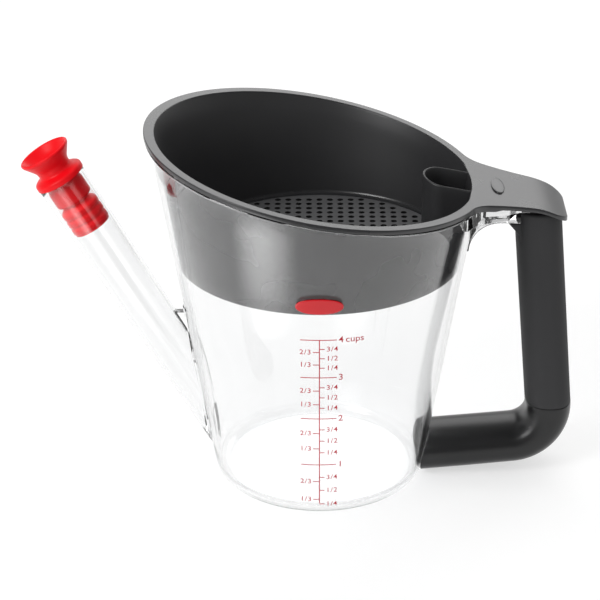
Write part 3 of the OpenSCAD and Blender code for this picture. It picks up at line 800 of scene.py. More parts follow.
core_rings = [at_level(core_ring(grip_top, 0, core_w, core_d), z)
              for z in (web_low - CORE_TOP_DROP, SEAM_H + CORE_SEAM_RISE)]
bend_start = elbow_c + ELBOW_R * ARM_OUT
core_rings += [at_level(core_ring(bend_start, 0, GRIP_W, GRIP_D, inset), SEAM_H - drop)
               for inset, drop in SEAM_EDGE]
for i in range(BEND_STEPS + 1):
    t = i / BEND_STEPS
    a = t * pi / 2
    middle = elbow_c + ELBOW_R * Vector((cos(GRIP_LEAN - a), 0, sin(GRIP_LEAN - a)))
    w, d, n = (mix(grip, arm, ease(t)) for grip, arm in
               ((GRIP_W, LOWER_ARM_W), (GRIP_D, LOWER_ARM_D), (GRIP_ROUND, ARM_ROUND)))
    core_rings.append(core_ring(middle, a, w, d, n=n))
arm_line = elbow_c - ELBOW_R * GRIP_UP
for i in range(1, ARM_RINGS):
    more = ARM_FLARE * i / ARM_RINGS
    middle = arm_line - ARM_OUT * (corner_run - ELBOW_R - ARM_SHORT) * i / ARM_RINGS - GRIP_UP * more / 2
    core_rings.append(core_ring(middle, pi / 2, LOWER_ARM_W + more, LOWER_ARM_D, n=ARM_ROUND))
for inset, gap in FOOT_EDGE:
    foot_ring = core_ring(arm_line - GRIP_UP * ARM_FLARE / 2, pi / 2,
                          LOWER_ARM_W + ARM_FLARE, LOWER_ARM_D, inset, ARM_ROUND)
    core_rings.append(on_wall(foot_ring, CORE_GAP + gap))
core = new_mesh("black_handle_core", *loft(core_rings, wrap=False, caps=True))
finish_piece(core, CORE_BLACK, "jug", sharp=40, stands_for=["handle_core"])

# %% [markdown]
# The soft sleeve slides over the core from above. It has a rounded edge at the seam, and its
# top follows the underside of the clear plate and of the tongue. Level rings make the long
# part, and rings that follow the seat make the top.

# %% The sleeve of the soft grip
SEAT_PLAY, SEAM_PLAY, TOP_LOOK_DOWN = 0.02, 0.04, 3
# Rounded edges as (inset, height over the seam) and (inset, height over the seat)
SLEEVE_FOOT = ((0.45, SEAM_PLAY), (0.12, 0.16), (0, 0.5))
SLEEVE_TOP = ((0, -1.6), (0.12, -0.9), (0.45, -0.35), (0.9, -0.08), (1.4, 0))
SLEEVE_HEIGHTS, BORE_MIDDLE, BORE_EDGE = range(40, 121, 4), 80, 3


def sleeve_top(x):
    return min(CLEAR_ARM_H, tongue_z(x) - ARM_TOP_GAP) - SEAT_PLAY


def sleeve_outline(inset):
    return superellipse(GRIP_W / 2 - inset, GRIP_D / 2 - inset, GRIP_ROUND, SECTION_STEPS)


def level_ring(inset, z):
    return [(grip_x(z) + a, b, z) for a, b in sleeve_outline(inset)]


def seat_ring(inset, rise):
    """A ring of the sleeve that lies `rise` over the seat under plate and tongue."""
    ring = []
    for a, b in sleeve_outline(inset):
        z = sleeve_top(grip_x(CLEAR_ARM_H - TOP_LOOK_DOWN) + a) + rise
        ring.append((grip_x(z) + a, b, z))
    return ring


sleeve_rings = [level_ring(inset, SEAM_H + rise) for inset, rise in SLEEVE_FOOT]
sleeve_rings += [level_ring(0, z) for z in SLEEVE_HEIGHTS]
sleeve_rings += [seat_ring(inset, rise) for inset, rise in SLEEVE_TOP]
bore_inset = SLEEVE_T - SEAT_PLAY
sleeve_rings += [seat_ring(bore_inset, 0), seat_ring(bore_inset, -BORE_EDGE),
                 level_ring(bore_inset, BORE_MIDDLE), level_ring(bore_inset, SEAM_H + SEAM_PLAY)]
grip = new_mesh("soft_grip", *loft(sleeve_rings))
print("sleeve rings:", len(sleeve_rings))

# %% [markdown]
# Under the web the sleeve reaches forward with a small lip, and above it a slot lets the web
# in. Both are made from plates: one is joined on, the other is cut out.

# %% The grip's lip and slot
LIP_REACH, LIP_BACK, LIP_BACK_H, LIP_TIP, LIP_TIP_H, LIP_ROUND = 3.4, 3.0, 7.0, 0.5, 4.6, 0.6
SLOT_REACH, SLOT_RISE, SLOT_PLAY = 8, 4, 0.15

lip_x = grip_x(web_low) - GRIP_W / 2
lip_side = [(lip_x - LIP_REACH, web_low - SEAT_PLAY), (lip_x + LIP_BACK, web_low - SEAT_PLAY),
            (lip_x + LIP_BACK, web_low - LIP_BACK_H), (lip_x + LIP_TIP, web_low - LIP_TIP_H)]
carve(grip, round_edges(plate("lip", lip_side, WEB_W), LIP_ROUND, 3, 40), "UNION")
slot_side = [(lip_x - SLOT_REACH, web_low), (grip_x(web_low), web_low),
             (grip_x(web_low), CLEAR_ARM_H + SLOT_RISE), (lip_x - SLOT_REACH, CLEAR_ARM_H + SLOT_RISE)]
carve(grip, plate("web_slot", slot_side, WEB_W + 2 * SLOT_PLAY), "DIFFERENCE")
finish_piece(grip, GRIP_RUBBER, "jug", sharp=40, stands_for=["handle_grip"])

# %% [markdown]
# The strainer is one satin black moulding. Its basket, its flange and its tongue are lofted
# together: one closed section for every step round the rim, and where the tongue leaves the
# rim the sections simply reach further out. So the top is one smooth face with rounded edges.
# The outer line of the top comes first, with the angle at which each section is taken.

# %% Outer line of the strainer's top
BASKET_OUT, BASKET_IN = -WALL_T - NEST_GAP, -WALL_T - NEST_GAP - BASKET_T
CHUTE_W, CHUTE_REACH, CHUTE_T, CHUTE_NOSE = 22.6, 22.0, 1.2, 9.5
CHUTE_X = RIM_HANDLE_R + BASKET_IN - CHUTE_REACH
TOP_ROUND, SIDE_ROUND, MOUTH_ROUND = 0.4, 0.25, 0.5
RIM_STEPS, END_STEPS, LEAN_STEPS = 260, 12, 6

end_half = TONGUE_EDGE[-1][1]
edge_up = TONGUE_EDGE + [(TONGUE_END, end_half * (1 - i / END_STEPS)) for i in range(1, END_STEPS + 1)]
tongue_line = edge_up + [(x, -y) for x, y in edge_up[-2::-1]]
run = [0.0]
for p, q in zip(tongue_line, tongue_line[1:]):
    run.append(run[-1] + hypot(q[0] - p[0], q[1] - p[1]))
neck = radians(NECK_TURN)
columns = []
for (x, y), along in zip(tongue_line, run):
    columns.append(((x, y), mix(neck, -neck, along / run[-1]), 0.0))
for i in range(1, RIM_STEPS):
    turn = mix(-neck, neck - 2 * pi, i / RIM_STEPS)
    r = rim_point(FLANGE_OVER, 0, turn)[0]
    lean = min(1.0, i / LEAN_STEPS, (RIM_STEPS - i) / LEAN_STEPS)
    columns.append(((r * cos(turn), r * sin(turn)), turn, lean))
print("rim columns:", len(columns))

# %% [markdown]
# Each section is walked once round: up inside the basket, over the mouth, out along the top,
# round the edge, and back under it and down the outside. The mouth flares a little before
# its rounding, which gives the bright line round the basket. Under the tongue's free edge
# hangs a small skirt that fades out towards the tongue's end.

# %% Sizes of the strainer's section
HOLE_BORDER_R, CHUTE_TEST_H, CHUTE_MARGIN = 60.6, 113, 0.6
MOUTH_FLARE, MOUTH_DEPTH, MOUTH_POWER = 0.8, 8.0, 1.6
FLARE_TEST_H, FLARE_FROM, FLARE_RUN = 150, 13, 10
SKIRT_H, SKIRT_MIN, SKIRT_FROM, SKIRT_RUN, SKIRT_IN, SKIRT_BACK = 1.0, 0.02, 77.0, 5.0, 0.9, 0.95
WALL_SHARES = [0.01] + [i / 12 for i in range(1, 11)] + [0.87, 0.9, 0.93, 0.95, 0.97, 0.985, 1.0]
TOP_STEPS, UNDER_STEPS, OUTSIDE_ROWS = 22, 22, 8
CHUTE_FILLET, CHUTE_IN, FLAT_SHARE = 0.05, 0.1, 0.6
LOW_RISE, LOW_EDGE, LOW_IN = 0.8, 0.25, 0.9


def plan_normal(index):
    """Unit normal of the outer line in plan, from a column's two neighbours."""
    a, b = columns[index - 1][0], columns[(index + 1) % len(columns)][0]
    dx, dy = b[0] - a[0], b[1] - a[1]
    size = hypot(dx, dy)
    return -dy / size, dx / size


def mouth_flare(turn):
    """How far the mouth flares at one angle: less towards the chute, where a wall stands."""
    if cos(turn) <= 0:
        return MOUTH_FLARE
    return MOUTH_FLARE * ease(clamped((abs(wall_r(FLARE_TEST_H) * sin(turn)) - FLARE_FROM) / FLARE_RUN))


def on_top(x, y, drop):
    """A point below the strainer's top face, which bends down along the tongue."""
    return (x, y, (tongue_z(x) if x > DROOP_X else rim_z(x)) - drop)


def rounding(r, steps):
    """Pairs (along, across) of a quarter round, from its start to its end."""
    turns = [radians(90 * i / steps) for i in range(steps + 1)]
    return [(r * (1 - cos(t)), r * (1 - sin(t))) for t in turns]


print("rows up the basket's wall:", len(WALL_SHARES))

# %% [markdown]
# Every section has the same number of points, whatever it passes, so neighbours can be
# joined into quads. Where the chute stands, the inside corner has nearly no fillet.

# %% One section of the strainer
def strainer_section(index):
    (ox, oy), turn, lean = columns[index]
    nx, ny = plan_normal(index)
    if nx * ox + ny * oy < 0:
        nx, ny = -nx, -ny
    c, s = cos(turn), sin(turn)

    def at(r, z):
        return (r * c, r * s, z)

    def inside_edge(back, drop):
        return on_top(ox - nx * back, oy - ny * back, drop)

    in_chute = abs(wall_r(CHUTE_TEST_H) * s) < CHUTE_W / 2 - CHUTE_MARGIN and c > 0
    top = BASKET_FLOOR + SCREEN_T
    r_wall = wall_r(top) + BASKET_IN
    fillet = CHUTE_FILLET if in_chute else SCREEN_FILLET
    inner_r = r_wall - CHUTE_IN if in_chute else HOLE_BORDER_R
    corner = (wall_r(top + fillet) + BASKET_IN - fillet, top + fillet)
    points = [at(inner_r, BASKET_FLOOR), at(inner_r, top), at(mix(inner_r, corner[0], FLAT_SHARE), top)]
    points += [at(r, z) for r, z in arc(corner, fillet, -90, 0, 8)]
    low = (wall_r(top + fillet) + BASKET_IN, top + fillet)
    high = rim_point(BASKET_IN, -MOUTH_ROUND, turn)
    flare = mouth_flare(turn)
    for share in WALL_SHARES:
        z = mix(low[1], high[1], share)
        out = flare * max(0.0, 1 - (high[1] - z) / MOUTH_DEPTH) ** MOUTH_POWER
        points.append(at(mix(low[0], high[0], share) + out, z))
    for out, drop in rounding(MOUTH_ROUND, 6)[1:]:
        r, _ = rim_point(BASKET_IN + flare + out, 0, turn)
        points.append(on_top(r * c, r * s, drop))
    ix, iy = points[-1][0], points[-1][1]
    ex, ey = ox - nx * TOP_ROUND, oy - ny * TOP_ROUND
    points += [on_top(mix(ix, ex, i / TOP_STEPS), mix(iy, ey, i / TOP_STEPS), 0) for i in range(1, TOP_STEPS)]
    points += [inside_edge(back, drop) for drop, back in rounding(TOP_ROUND, 4)]
    skirt = SKIRT_MIN + SKIRT_H * (1 - lean) * (1 - ease(clamped((ox - SKIRT_FROM) / SKIRT_RUN)))
    under = FLANGE_T + skirt
    points += [inside_edge(back, under - rise) for back, rise in rounding(SIDE_ROUND, 3)]
    points += [inside_edge(SKIRT_IN, under), inside_edge(SKIRT_BACK, FLANGE_T)]
    bx, by = points[-1][0], points[-1][1]
    r_under, _ = rim_point(BASKET_OUT, -FLANGE_T, turn)
    ux, uy = r_under * c, r_under * s
    points += [on_top(mix(bx, ux, i / UNDER_STEPS), mix(by, uy, i / UNDER_STEPS), FLANGE_T)
               for i in range(1, UNDER_STEPS + 1)]
    z_under = points[-1][2]
    rows = [mix(z_under, BASKET_FLOOR + LOW_RISE, i / OUTSIDE_ROWS) for i in range(1, OUTSIDE_ROWS + 1)]
    points += [at(wall_r(z) + BASKET_OUT, z) for z in rows]
    r_low = wall_r(BASKET_FLOOR) + BASKET_OUT
    points += [at(r_low - LOW_EDGE, BASKET_FLOOR + LOW_EDGE), at(r_low - LOW_IN, BASKET_FLOOR)]
    return points


print("points in a section:", len(strainer_section(0)))

# %% [markdown]
# Joined all the way round, the sections close into one solid moulding without its floor,
# which comes next as a piece of its own.

# %% The basket, the flange and the tongue
strainer = new_mesh("black_strainer", *loft([strainer_section(i) for i in range(len(columns))]))
finish_piece(strainer, STRAINER_BLACK, "strainer", sharp=40, stands_for=["strainer"])

# %% [markdown]
# The basket's inside is matter than its outside. Which faces are inside is read from their
# normals: those that look back at the axis get the second material.

# %% The matter inside of the basket
LOOKS_INWARD = 0.9
strainer.data.materials.append(INSIDE_BLACK)
for face in strainer.data.polygons:
    middle, normal = face.center, face.normal
    if -(normal.x * middle.x + normal.y * middle.y) / hypot(middle.x, middle.y) > LOOKS_INWARD:
        face.material_index = 1
print("inside faces:", sum(face.material_index for face in strainer.data.polygons))

# %% [markdown]
# The perforated floor has hundreds of round holes on a square grid. Cutting each with a
# boolean would be slow. Instead a constrained Delaunay triangulation fills the flat
# between them, and each hole gets a rounded lip and a wall. First come the holes' places
# and the floor's outline, which leaves a notch for the chute.

# %% Places of the holes and the floor's outline
HOLE_R, HOLE_PITCH, HOLE_LIP, HOLE_STEPS = 1.4, 5.0, 0.12, 20
HOLE_BORDER, CHUTE_BORDER = 4.0, 4
SCREEN_R, SCREEN_STEPS, SCREEN_SINK = 61.3, 220, 0.02
HOLE_SURE, FAR_OUT = 0.985, 1e9


def chute_line(inset, steps=24):
    """The chute's U in plan, from its +Y leg round the nose to its -Y leg."""
    nose, half = CHUTE_NOSE - inset, CHUTE_W / 2 - inset
    points = []
    for i in range(steps + 1):
        t = pi / 2 + pi * i / steps
        points.append((CHUTE_X + CHUTE_NOSE + nose * cos(t), half * sin(t)))
    return points


hole_reach = wall_r(BASKET_FLOOR) + BASKET_IN - HOLE_BORDER
cells = int(hole_reach / HOLE_PITCH)
holes = [(i * HOLE_PITCH, j * HOLE_PITCH) for i in range(-cells, cells + 1) for j in range(-cells, cells + 1)
         if hypot(i, j) * HOLE_PITCH < hole_reach
         and (i * HOLE_PITCH < CHUTE_X - CHUTE_BORDER or abs(j) * HOLE_PITCH > CHUTE_W / 2 + CHUTE_BORDER)]
hole_set = set(holes)
notch = chute_line(CHUTE_T / 2)
notch_turn = asin(notch[0][1] / SCREEN_R)
rim_turns = [mix(notch_turn, 2 * pi - notch_turn, i / SCREEN_STEPS) for i in range(SCREEN_STEPS + 1)]
boundary = [(SCREEN_R * cos(t), SCREEN_R * sin(t)) for t in rim_turns] + notch[::-1]
print("holes:", len(holes))

# %% [markdown]
# The triangulation gets the outline and all the circles as fixed edges. It also fills the
# holes and the notch, so each triangle's middle is tested and those inside a hole go.

# %% The flat between the holes
def hole_circle(centre, r):
    return [(centre[0] + x, centre[1] + y) for x, y, _ in level_circle(r, 0, HOLE_STEPS)]


def notch_edge(y):
    """x of the chute's outline at y, or far out where the chute isn't."""
    if abs(y) >= notch[0][1]:
        return FAR_OUT
    return CHUTE_X + CHUTE_NOSE - (CHUTE_NOSE - CHUTE_T / 2) * sqrt(1 - (y / notch[0][1]) ** 2)


def flat_between(hole_r):
    """Flat triangulated sheet between the boundary and circles of one radius."""
    points, loops = [Vector(p) for p in boundary], [list(range(len(boundary)))]
    for centre in holes:
        start = len(points)
        points += [Vector(p) for p in hole_circle(centre, hole_r)]
        loops.append([start + i for i in range(HOLE_STEPS)])
    edges = [(loop[i], loop[(i + 1) % len(loop)]) for loop in loops for i in range(len(loop))]
    out = delaunay_2d_cdt(points, edges, [], 0, 1e-6)
    found = []
    for face in out[2]:
        cx = sum(out[0][i].x for i in face) / len(face)
        cy = sum(out[0][i].y for i in face) / len(face)
        near = (round(cx / HOLE_PITCH) * HOLE_PITCH, round(cy / HOLE_PITCH) * HOLE_PITCH)
        in_hole = near in hole_set and hypot(cx - near[0], cy - near[1]) < hole_r * HOLE_SURE
        inside = hypot(cx, cy) < SCREEN_R and cx <= notch_edge(cy)
        if inside and not in_hole:
            found.append(face)
    return [(p.x, p.y) for p in out[0]], found


print("outline points:", len(boundary))

# %% [markdown]
# The top is triangulated round the wider lips and the underside round the bare holes. Then
# every hole gets its rounded lip and its wall, and the outline gets an upright edge.

# %% The perforated floor
lip_turns = [radians(a) for a in (0, 22, 45, 67, 90)]
lip_profile = [(HOLE_R + HOLE_LIP * (1 - sin(t)), -HOLE_LIP * (1 - cos(t))) for t in lip_turns]
screen_points, screen_faces = [], []
screen_top = BASKET_FLOOR + SCREEN_T - SCREEN_SINK
for hole_r, z in ((HOLE_R + HOLE_LIP, screen_top), (HOLE_R, BASKET_FLOOR)):
    flat_points, flat_faces = flat_between(hole_r)
    start = len(screen_points)
    screen_points += [(x, y, z) for x, y in flat_points]
    screen_faces += [tuple(start + i for i in face) for face in flat_faces]


def add_walls(rings):
    """Joins rings that lie over one another to upright walls of the floor."""
    start = len(screen_points)
    points, faces = loft(rings, wrap=False)
    screen_points.extend(points)
    screen_faces.extend(tuple(start + i for i in face) for face in faces)


for centre in holes:
    rows = [(r, screen_top + drop) for r, drop in lip_profile] + [(HOLE_R, BASKET_FLOOR)]
    add_walls([[(x, y, z) for x, y in hole_circle(centre, r)] for r, z in rows])
add_walls([[(x, y, z) for x, y in boundary] for z in (screen_top, BASKET_FLOOR)])
screen = new_mesh("strainer_screen", screen_points, screen_faces)
finish_piece(screen, SCREEN_PAINTED_LIGHT, "strainer", sharp=40)

# %% [markdown]
# The floor's top is a matt satin coloured paler as painted light, and the walls of the holes
# get a near black material of their own as painted shade. They are the faces that stand upright.

# %% Painted shade on the walls of the holes
UPRIGHT = 0.6
screen.data.materials.append(HOLE_PAINTED_SHADE)
for face in screen.data.polygons:
    if abs(face.normal.z) < UPRIGHT:
        face.material_index = 1
print("dark faces:", sum(face.material_index for face in screen.data.polygons))

# %% [markdown]
# Air leaves the jug through the chute, a thin wall that stands in the basket next to the
# handle. It ends level with the rim, with a rounded edge that catches the light.

# %% The vent chute
CHUTE_ROUND, CHUTE_TOP_DROP, CHUTE_INTO_WALL = 0.6, 0.02, 0.5
CHUTE_ROWS, LEG_STEPS, EDGE_TURNS = 10, 10, (0, 22, 45, 67, 90)


def chute_columns():
    """Pairs of outer and inner points along the chute, with how far each runs out to the wall."""
    outer, inner = chute_line(0, 48), chute_line(CHUTE_T, 48)
    straight = [i / LEG_STEPS for i in range(LEG_STEPS, 0, -1)]
    pairs = [(outer[0], inner[0], t) for t in straight]
    pairs += [(o, i, 0.0) for o, i in zip(outer, inner)]
    pairs += [(outer[-1], inner[-1], t) for t in straight[::-1]]
    return pairs


def chute_section(outer, inner, share):
    def place(p, z):
        reach = sqrt((wall_r(z) + BASKET_IN + CHUTE_INTO_WALL) ** 2 - p[1] ** 2)
        return (mix(p[0], reach, share), p[1], z)

    def across(t, z):
        return place((mix(outer[0], inner[0], t), mix(outer[1], inner[1], t)), z)

    top_x = place(outer, RIM_H - 10)[0]
    top = rim_z(top_x) - CHUTE_TOP_DROP
    rows = [i / CHUTE_ROWS for i in range(CHUTE_ROWS + 1)]
    section = [across(0, mix(BASKET_FLOOR, top - CHUTE_ROUND, t)) for t in rows]
    r = CHUTE_ROUND / CHUTE_T
    turns = [radians(a) for a in EDGE_TURNS]
    section += [across(r * (1 - cos(t)), top - CHUTE_ROUND * (1 - sin(t))) for t in turns[1:]]
    section += [across(1 - r * (1 - sin(t)), top - CHUTE_ROUND * (1 - cos(t))) for t in turns]
    section += [across(1, mix(top - CHUTE_ROUND, BASKET_FLOOR, t)) for t in rows[1:]]
    return section


chute = new_mesh("vent_chute", *loft([chute_section(*c) for c in chute_columns()], wrap=False, caps=True))
finish_piece(chute, INSIDE_BLACK, "strainer", sharp=40)

# %% [markdown]
# A small oval is raised on the tongue, and here it stays bare. Rings that shrink while they
# rise give it a soft edge and a slightly crowned top.

# %% The bare raised oval on the tongue
OVAL_X, OVAL_A, OVAL_B, OVAL_H, OVAL_STEPS = RIM_HANDLE_R + FLANGE_OVER + 6.5, 3.0, 8.6, 0.6, 72
OVAL_RISE = ((0.0, -0.4), (0.0, OVAL_H - 0.3), (-0.1, OVAL_H - 0.1), (-0.35, OVAL_H),
             (-1.0, OVAL_H + 0.05), (-2.2, OVAL_H + 0.08))
oval_rings = []
for grow, lift in OVAL_RISE:
    ring = []
    for i in range(OVAL_STEPS):
        x = OVAL_X + (OVAL_A + grow) * cos(2 * pi * i / OVAL_STEPS)
        ring.append((x, (OVAL_B + grow) * sin(2 * pi * i / OVAL_STEPS), rim_z(x) + lift))
    oval_rings.append(ring)
oval = new_mesh("raised_oval", *loft(oval_rings, wrap=False, caps=True))
finish_piece(oval, STRAINER_BLACK, "strainer", sharp=40)

# %% [markdown]
# The stopper is turned: a finger dish, a thin neck, a collar that sits on the spout's mouth,
# and a plug with a groove and soft ribs. Its half section is the solid's with rounded
# corners, a slightly deeper dish and a small skirt under the collar.

# %% Sizes of the stopper, and a line with rounded corners
DISH_R, DISH_H, DISH_DEPTH, NECK_R = 12.05, 14.0, 4.5, 7.85
COLLAR_R, COLLAR_T, COLLAR_SKIRT, COLLAR_PLAY, PLUG_GAP, PLUG_LEN = 11.7, 2.6, 0.7, 0.1, 0.2, 27.3
GROOVE_R, GROOVE_AT, RIB_H, RIB_COUNT = 6.4, 13.3, 0.4, 3
PLUG_R = BORE_R - PLUG_GAP - SPOUT_TAPER * PLUG_LEN
ROOT_R = PLUG_R - RIB_H
RIB_TOP = GROOVE_AT + (PLUG_R - GROOVE_R) * 0.6
RIB_PITCH = (PLUG_LEN - RIB_TOP) / RIB_COUNT
STOPPER_STEPS = 128


def rounded_path(corners, steps=6):
    """A polyline of (r, z, radius) with each inner corner replaced by an arc."""
    path = []
    for i, (r, z, radius) in enumerate(corners):
        if i in (0, len(corners) - 1) or radius == 0:
            path.append((r, z))
            continue
        here = Vector((r, z))
        to_last = (Vector(corners[i - 1][:2]) - here)
        to_next = (Vector(corners[i + 1][:2]) - here)
        cut = min(radius, to_last.length * 0.49, to_next.length * 0.49)
        a, b = here + to_last.normalized() * cut, here + to_next.normalized() * cut
        for k in range(steps + 1):
            t = k / steps
            p = a * (1 - t) ** 2 + here * 2 * t * (1 - t) + b * t * t
            path.append((p.x, p.y))
    return path


print("ribs every", round(RIB_PITCH, 2), "mm from", round(RIB_TOP, 2), "mm below the mouth")

# %% [markdown]
# The half section goes from the dish's middle over its lip, down the neck, round the collar
# and along the plug to its end. Each corner is (radius, height over the mouth, rounding).

# %% The stopper's half section
finger_dish = [(0, DISH_H - DISH_DEPTH - 1, 0), (DISH_R * 0.58, DISH_H - DISH_DEPTH - 0.8, 4),
               (DISH_R - 1.1, DISH_H - 0.3, 0.5), (DISH_R - 0.55, DISH_H, 0.45),
               (DISH_R, DISH_H - 0.45, 0.45), (DISH_R - 0.2, DISH_H - 1.5, 0.6)]
neck_and_collar = [(NECK_R + 0.1, DISH_H - 7.2, 5.5), (NECK_R, COLLAR_T + 1.2, 1.2),
                   (COLLAR_R - 1.2, COLLAR_T, 0.9), (COLLAR_R, COLLAR_T - 0.9, 0.9),
                   (COLLAR_R, -COLLAR_SKIRT, 0.15), (SPOUT_MOUTH_R + COLLAR_PLAY, -COLLAR_SKIRT, 0.1),
                   (SPOUT_MOUTH_R + COLLAR_PLAY, PLUG_GAP, 0.1)]
shank_and_groove = [(ROOT_R, PLUG_GAP, 0.2), (ROOT_R, 1.8 - GROOVE_AT, 0.8), (GROOVE_R, -GROOVE_AT, 0.5)]
one_rib = ((PLUG_R, 0.16), (PLUG_R, 0.62), (ROOT_R, 0.74), (ROOT_R, 1.0))
ribs = [(r, -RIB_TOP - RIB_PITCH * (i + share), 0.5) for i in range(RIB_COUNT) for r, share in one_rib]
plug_end = [(ROOT_R - 1.2, -PLUG_LEN, 0.8), (0, -PLUG_LEN, 0)]
stopper_line = rounded_path(finger_dish + neck_and_collar + shank_and_groove + ribs + plug_end)
print("points in the half section:", len(stopper_line))

# %% [markdown]
# The half section is swept once round the spout's axis, on which the stopper also moves.

# %% Turning the stopper
def on_spout_axis(r, up, turn):
    return MOUTH + SPOUT_AXIS * up + SPOUT_SIDE * (r * cos(turn)) + Vector((0, r * sin(turn), 0))


stopper_turns = [2 * pi * i / STOPPER_STEPS for i in range(STOPPER_STEPS)]
stopper_sections = [[on_spout_axis(r, up, turn) for r, up in stopper_line] for turn in stopper_turns]
stopper = new_mesh("red_stopper", *round_loft(stopper_sections))
finish_piece(stopper, SILICONE_RED, "stopper", sharp=40, stands_for=["stopper"])

# %% [markdown]
# What lies on the wall, the badge and the printed scale, is made flat and then wrapped: x
# becomes a way round the cone and height stays height. A shrinkwrap modifier could do it
# too, but a formula keeps every edge exactly as far off the wall as it should be.

# %% Wrapping on to the wall
FRONT = -pi / 2


def wrap(x, z, lift):
    """A point x mm round the wall from its front middle, at height z, lifted off the wall."""
    r = wall_r(z)
    turn = FRONT + x / r
    return ((r + lift) * cos(turn), (r + lift) * sin(turn), z)


print("front of the wall at mid height:", [round(x, 1) for x in wrap(0, RIM_H / 2, 0)])

# %% [markdown]
# The badge is a plain crowned oval, a little fuller than an ellipse. As on the tongue, rings
# that shrink while they rise make its soft edge.

# %% The badge
BADGE_A, BADGE_B, BADGE_T, BADGE_H, BADGE_FULL = 10.4, 4.0, 0.6, 116.8, 2.2
BADGE_RISE = ((-0.1, 0.01), (0.0, 0.12), (0.0, 0.3), (-0.1, 0.44), (-0.35, 0.54), (-0.9, 0.58),
              (-2.0, BADGE_T - 0.005), (-3.2, BADGE_T))
upright = cos(atan2(WALL_SLOPE, 1))
badge_rings = []
for grow, lift in BADGE_RISE:
    badge_rings.append([wrap((BADGE_A + grow) * x, BADGE_H + (BADGE_B + grow) * z * upright, lift)
                        for x, z in superellipse(1, 1, BADGE_FULL, 96)])
badge = new_mesh("red_badge", *loft(badge_rings, wrap=False, caps=True))
finish_piece(badge, BADGE_RED, "jug", sharp=45, stands_for=["badge"])

# %% [markdown]
# The scale is screen-printed. Each mark's height comes from the volume of the cone below
# it, so the steps get smaller towards the top, just as on the real jug.

# %% Heights of the marks
CUP_MM3, VOLUME_FLOOR, SCALE_FOOT_R = 236588.0, -1.73, 48.757
INNER_FOOT_R = SCALE_FOOT_R - WALL_T * sqrt(1 + WALL_SLOPE**2)


def mark_height(cups):
    floor_r = INNER_FOOT_R + WALL_SLOPE * VOLUME_FLOOR
    return ((floor_r**3 + 3 * WALL_SLOPE * cups * CUP_MM3 / pi) ** (1 / 3) - INNER_FOOT_R) / WALL_SLOPE


print("marks:", {c: round(mark_height(c), 1) for c in (1, 2, 3, 4)})

# %% [markdown]
# Ink could be an image on the wall. Here it is thin geometry, a hair's breadth over the
# plastic: lines are small grids, and the numerals are Blender's own font turned to meshes.

# %% Printing lines and numerals
INK_LIFT, LINE_W, PATCH_STEP, PATCH_RISE = 0.03, 0.46, 1.0, 3.0
WORD_SPACE, BOLDER = 0.6, 0.025
ink_points, ink_faces = [], []


def ink_patch(x0, x1, z0, z1):
    """A thin printed rectangle on the wall."""
    steps = max(2, int(abs(x1 - x0) / PATCH_STEP))
    rises = max(1, int(abs(z1 - z0) / PATCH_RISE))
    start, row = len(ink_points), steps + 1
    for j in range(rises + 1):
        ink_points.extend(wrap(mix(x0, x1, i / steps), mix(z0, z1, j / rises), INK_LIFT) for i in range(row))
    for j in range(rises):
        a, b = start + j * row, start + (j + 1) * row
        ink_faces.extend((a + i, a + i + 1, b + i + 1, b + i) for i in range(steps))


def ink_mark(x0, x1, z):
    ink_patch(x0, x1, z - LINE_W / 2, z + LINE_W / 2)


def ink_text(words, x, z, height, align, spread=1.0):
    """Printed characters: Blender's own font as outlines, wrapped on to the wall."""
    curve = bpy.data.curves.new("ink", "FONT")
    curve.body, curve.size, curve.align_x, curve.align_y = words, height, align, "CENTER"
    curve.resolution_u, curve.space_character = 4, spread
    curve.space_word, curve.offset = WORD_SPACE, BOLDER
    helper = bpy.data.objects.new("ink", curve)
    bpy.context.scene.collection.objects.link(helper)
    bpy.context.view_layer.update()
    mesh = bpy.data.meshes.new_from_object(helper.evaluated_get(bpy.context.evaluated_depsgraph_get()))
    start = len(ink_points)
    ink_points.extend(wrap(x + v.co.x, z + v.co.y, INK_LIFT) for v in mesh.vertices)
    ink_faces.extend(tuple(start + i for i in face.vertices) for face in mesh.polygons)
    bpy.data.objects.remove(helper)


print("ink lies", INK_LIFT, "mm over the wall")

# %% [markdown]
# The scale reads in cups, with thirds at the left of its upright line and quarters at its
# right. Whole cups have the long marks and the larger numerals.

# %% The printed scale
CUPS, SCALE_FOOT_H = 4, 7.3
CUP_LEFT, CUP_RIGHT, CUP_TEXT_X, CUP_TEXT_H = -8.4, 7.6, 8.3, 4.6
THIRD_LEFT, THIRD_TEXT_X, QUARTER_RIGHT, QUARTER_TEXT_X = -2.9, -3.6, 2.3, 3.0
PART_TEXT_H, PART_SPREAD = 3.7, 1.12
THIRDS = {1 / 3: "1/3", 2 / 3: "2/3"}
QUARTERS = {0.25: "1/4", 0.5: "1/2", 0.75: "3/4"}

ink_patch(-LINE_W / 2, LINE_W / 2, SCALE_FOOT_H, mark_height(CUPS))
for cup in range(1, CUPS + 1):
    ink_mark(CUP_LEFT, CUP_RIGHT, mark_height(cup))
    ink_text(f"{cup} cups" if cup == CUPS else str(cup), CUP_TEXT_X, mark_height(cup), CUP_TEXT_H, "LEFT")
for cup in range(CUPS):
    for part, words in THIRDS.items():
        z = mark_height(cup + part)
        ink_mark(THIRD_LEFT, 0, z)
        ink_text(words, THIRD_TEXT_X, z, PART_TEXT_H, "RIGHT", PART_SPREAD)
    for part, words in QUARTERS.items():
        z = mark_height(cup + part)
        ink_mark(0, QUARTER_RIGHT, z)
        ink_text(words, QUARTER_TEXT_X, z, PART_TEXT_H, "LEFT", PART_SPREAD)
ink = new_mesh("printed_scale", ink_points, ink_faces)
finish_piece(ink, SCALE_INK, "jug", sharp=60)

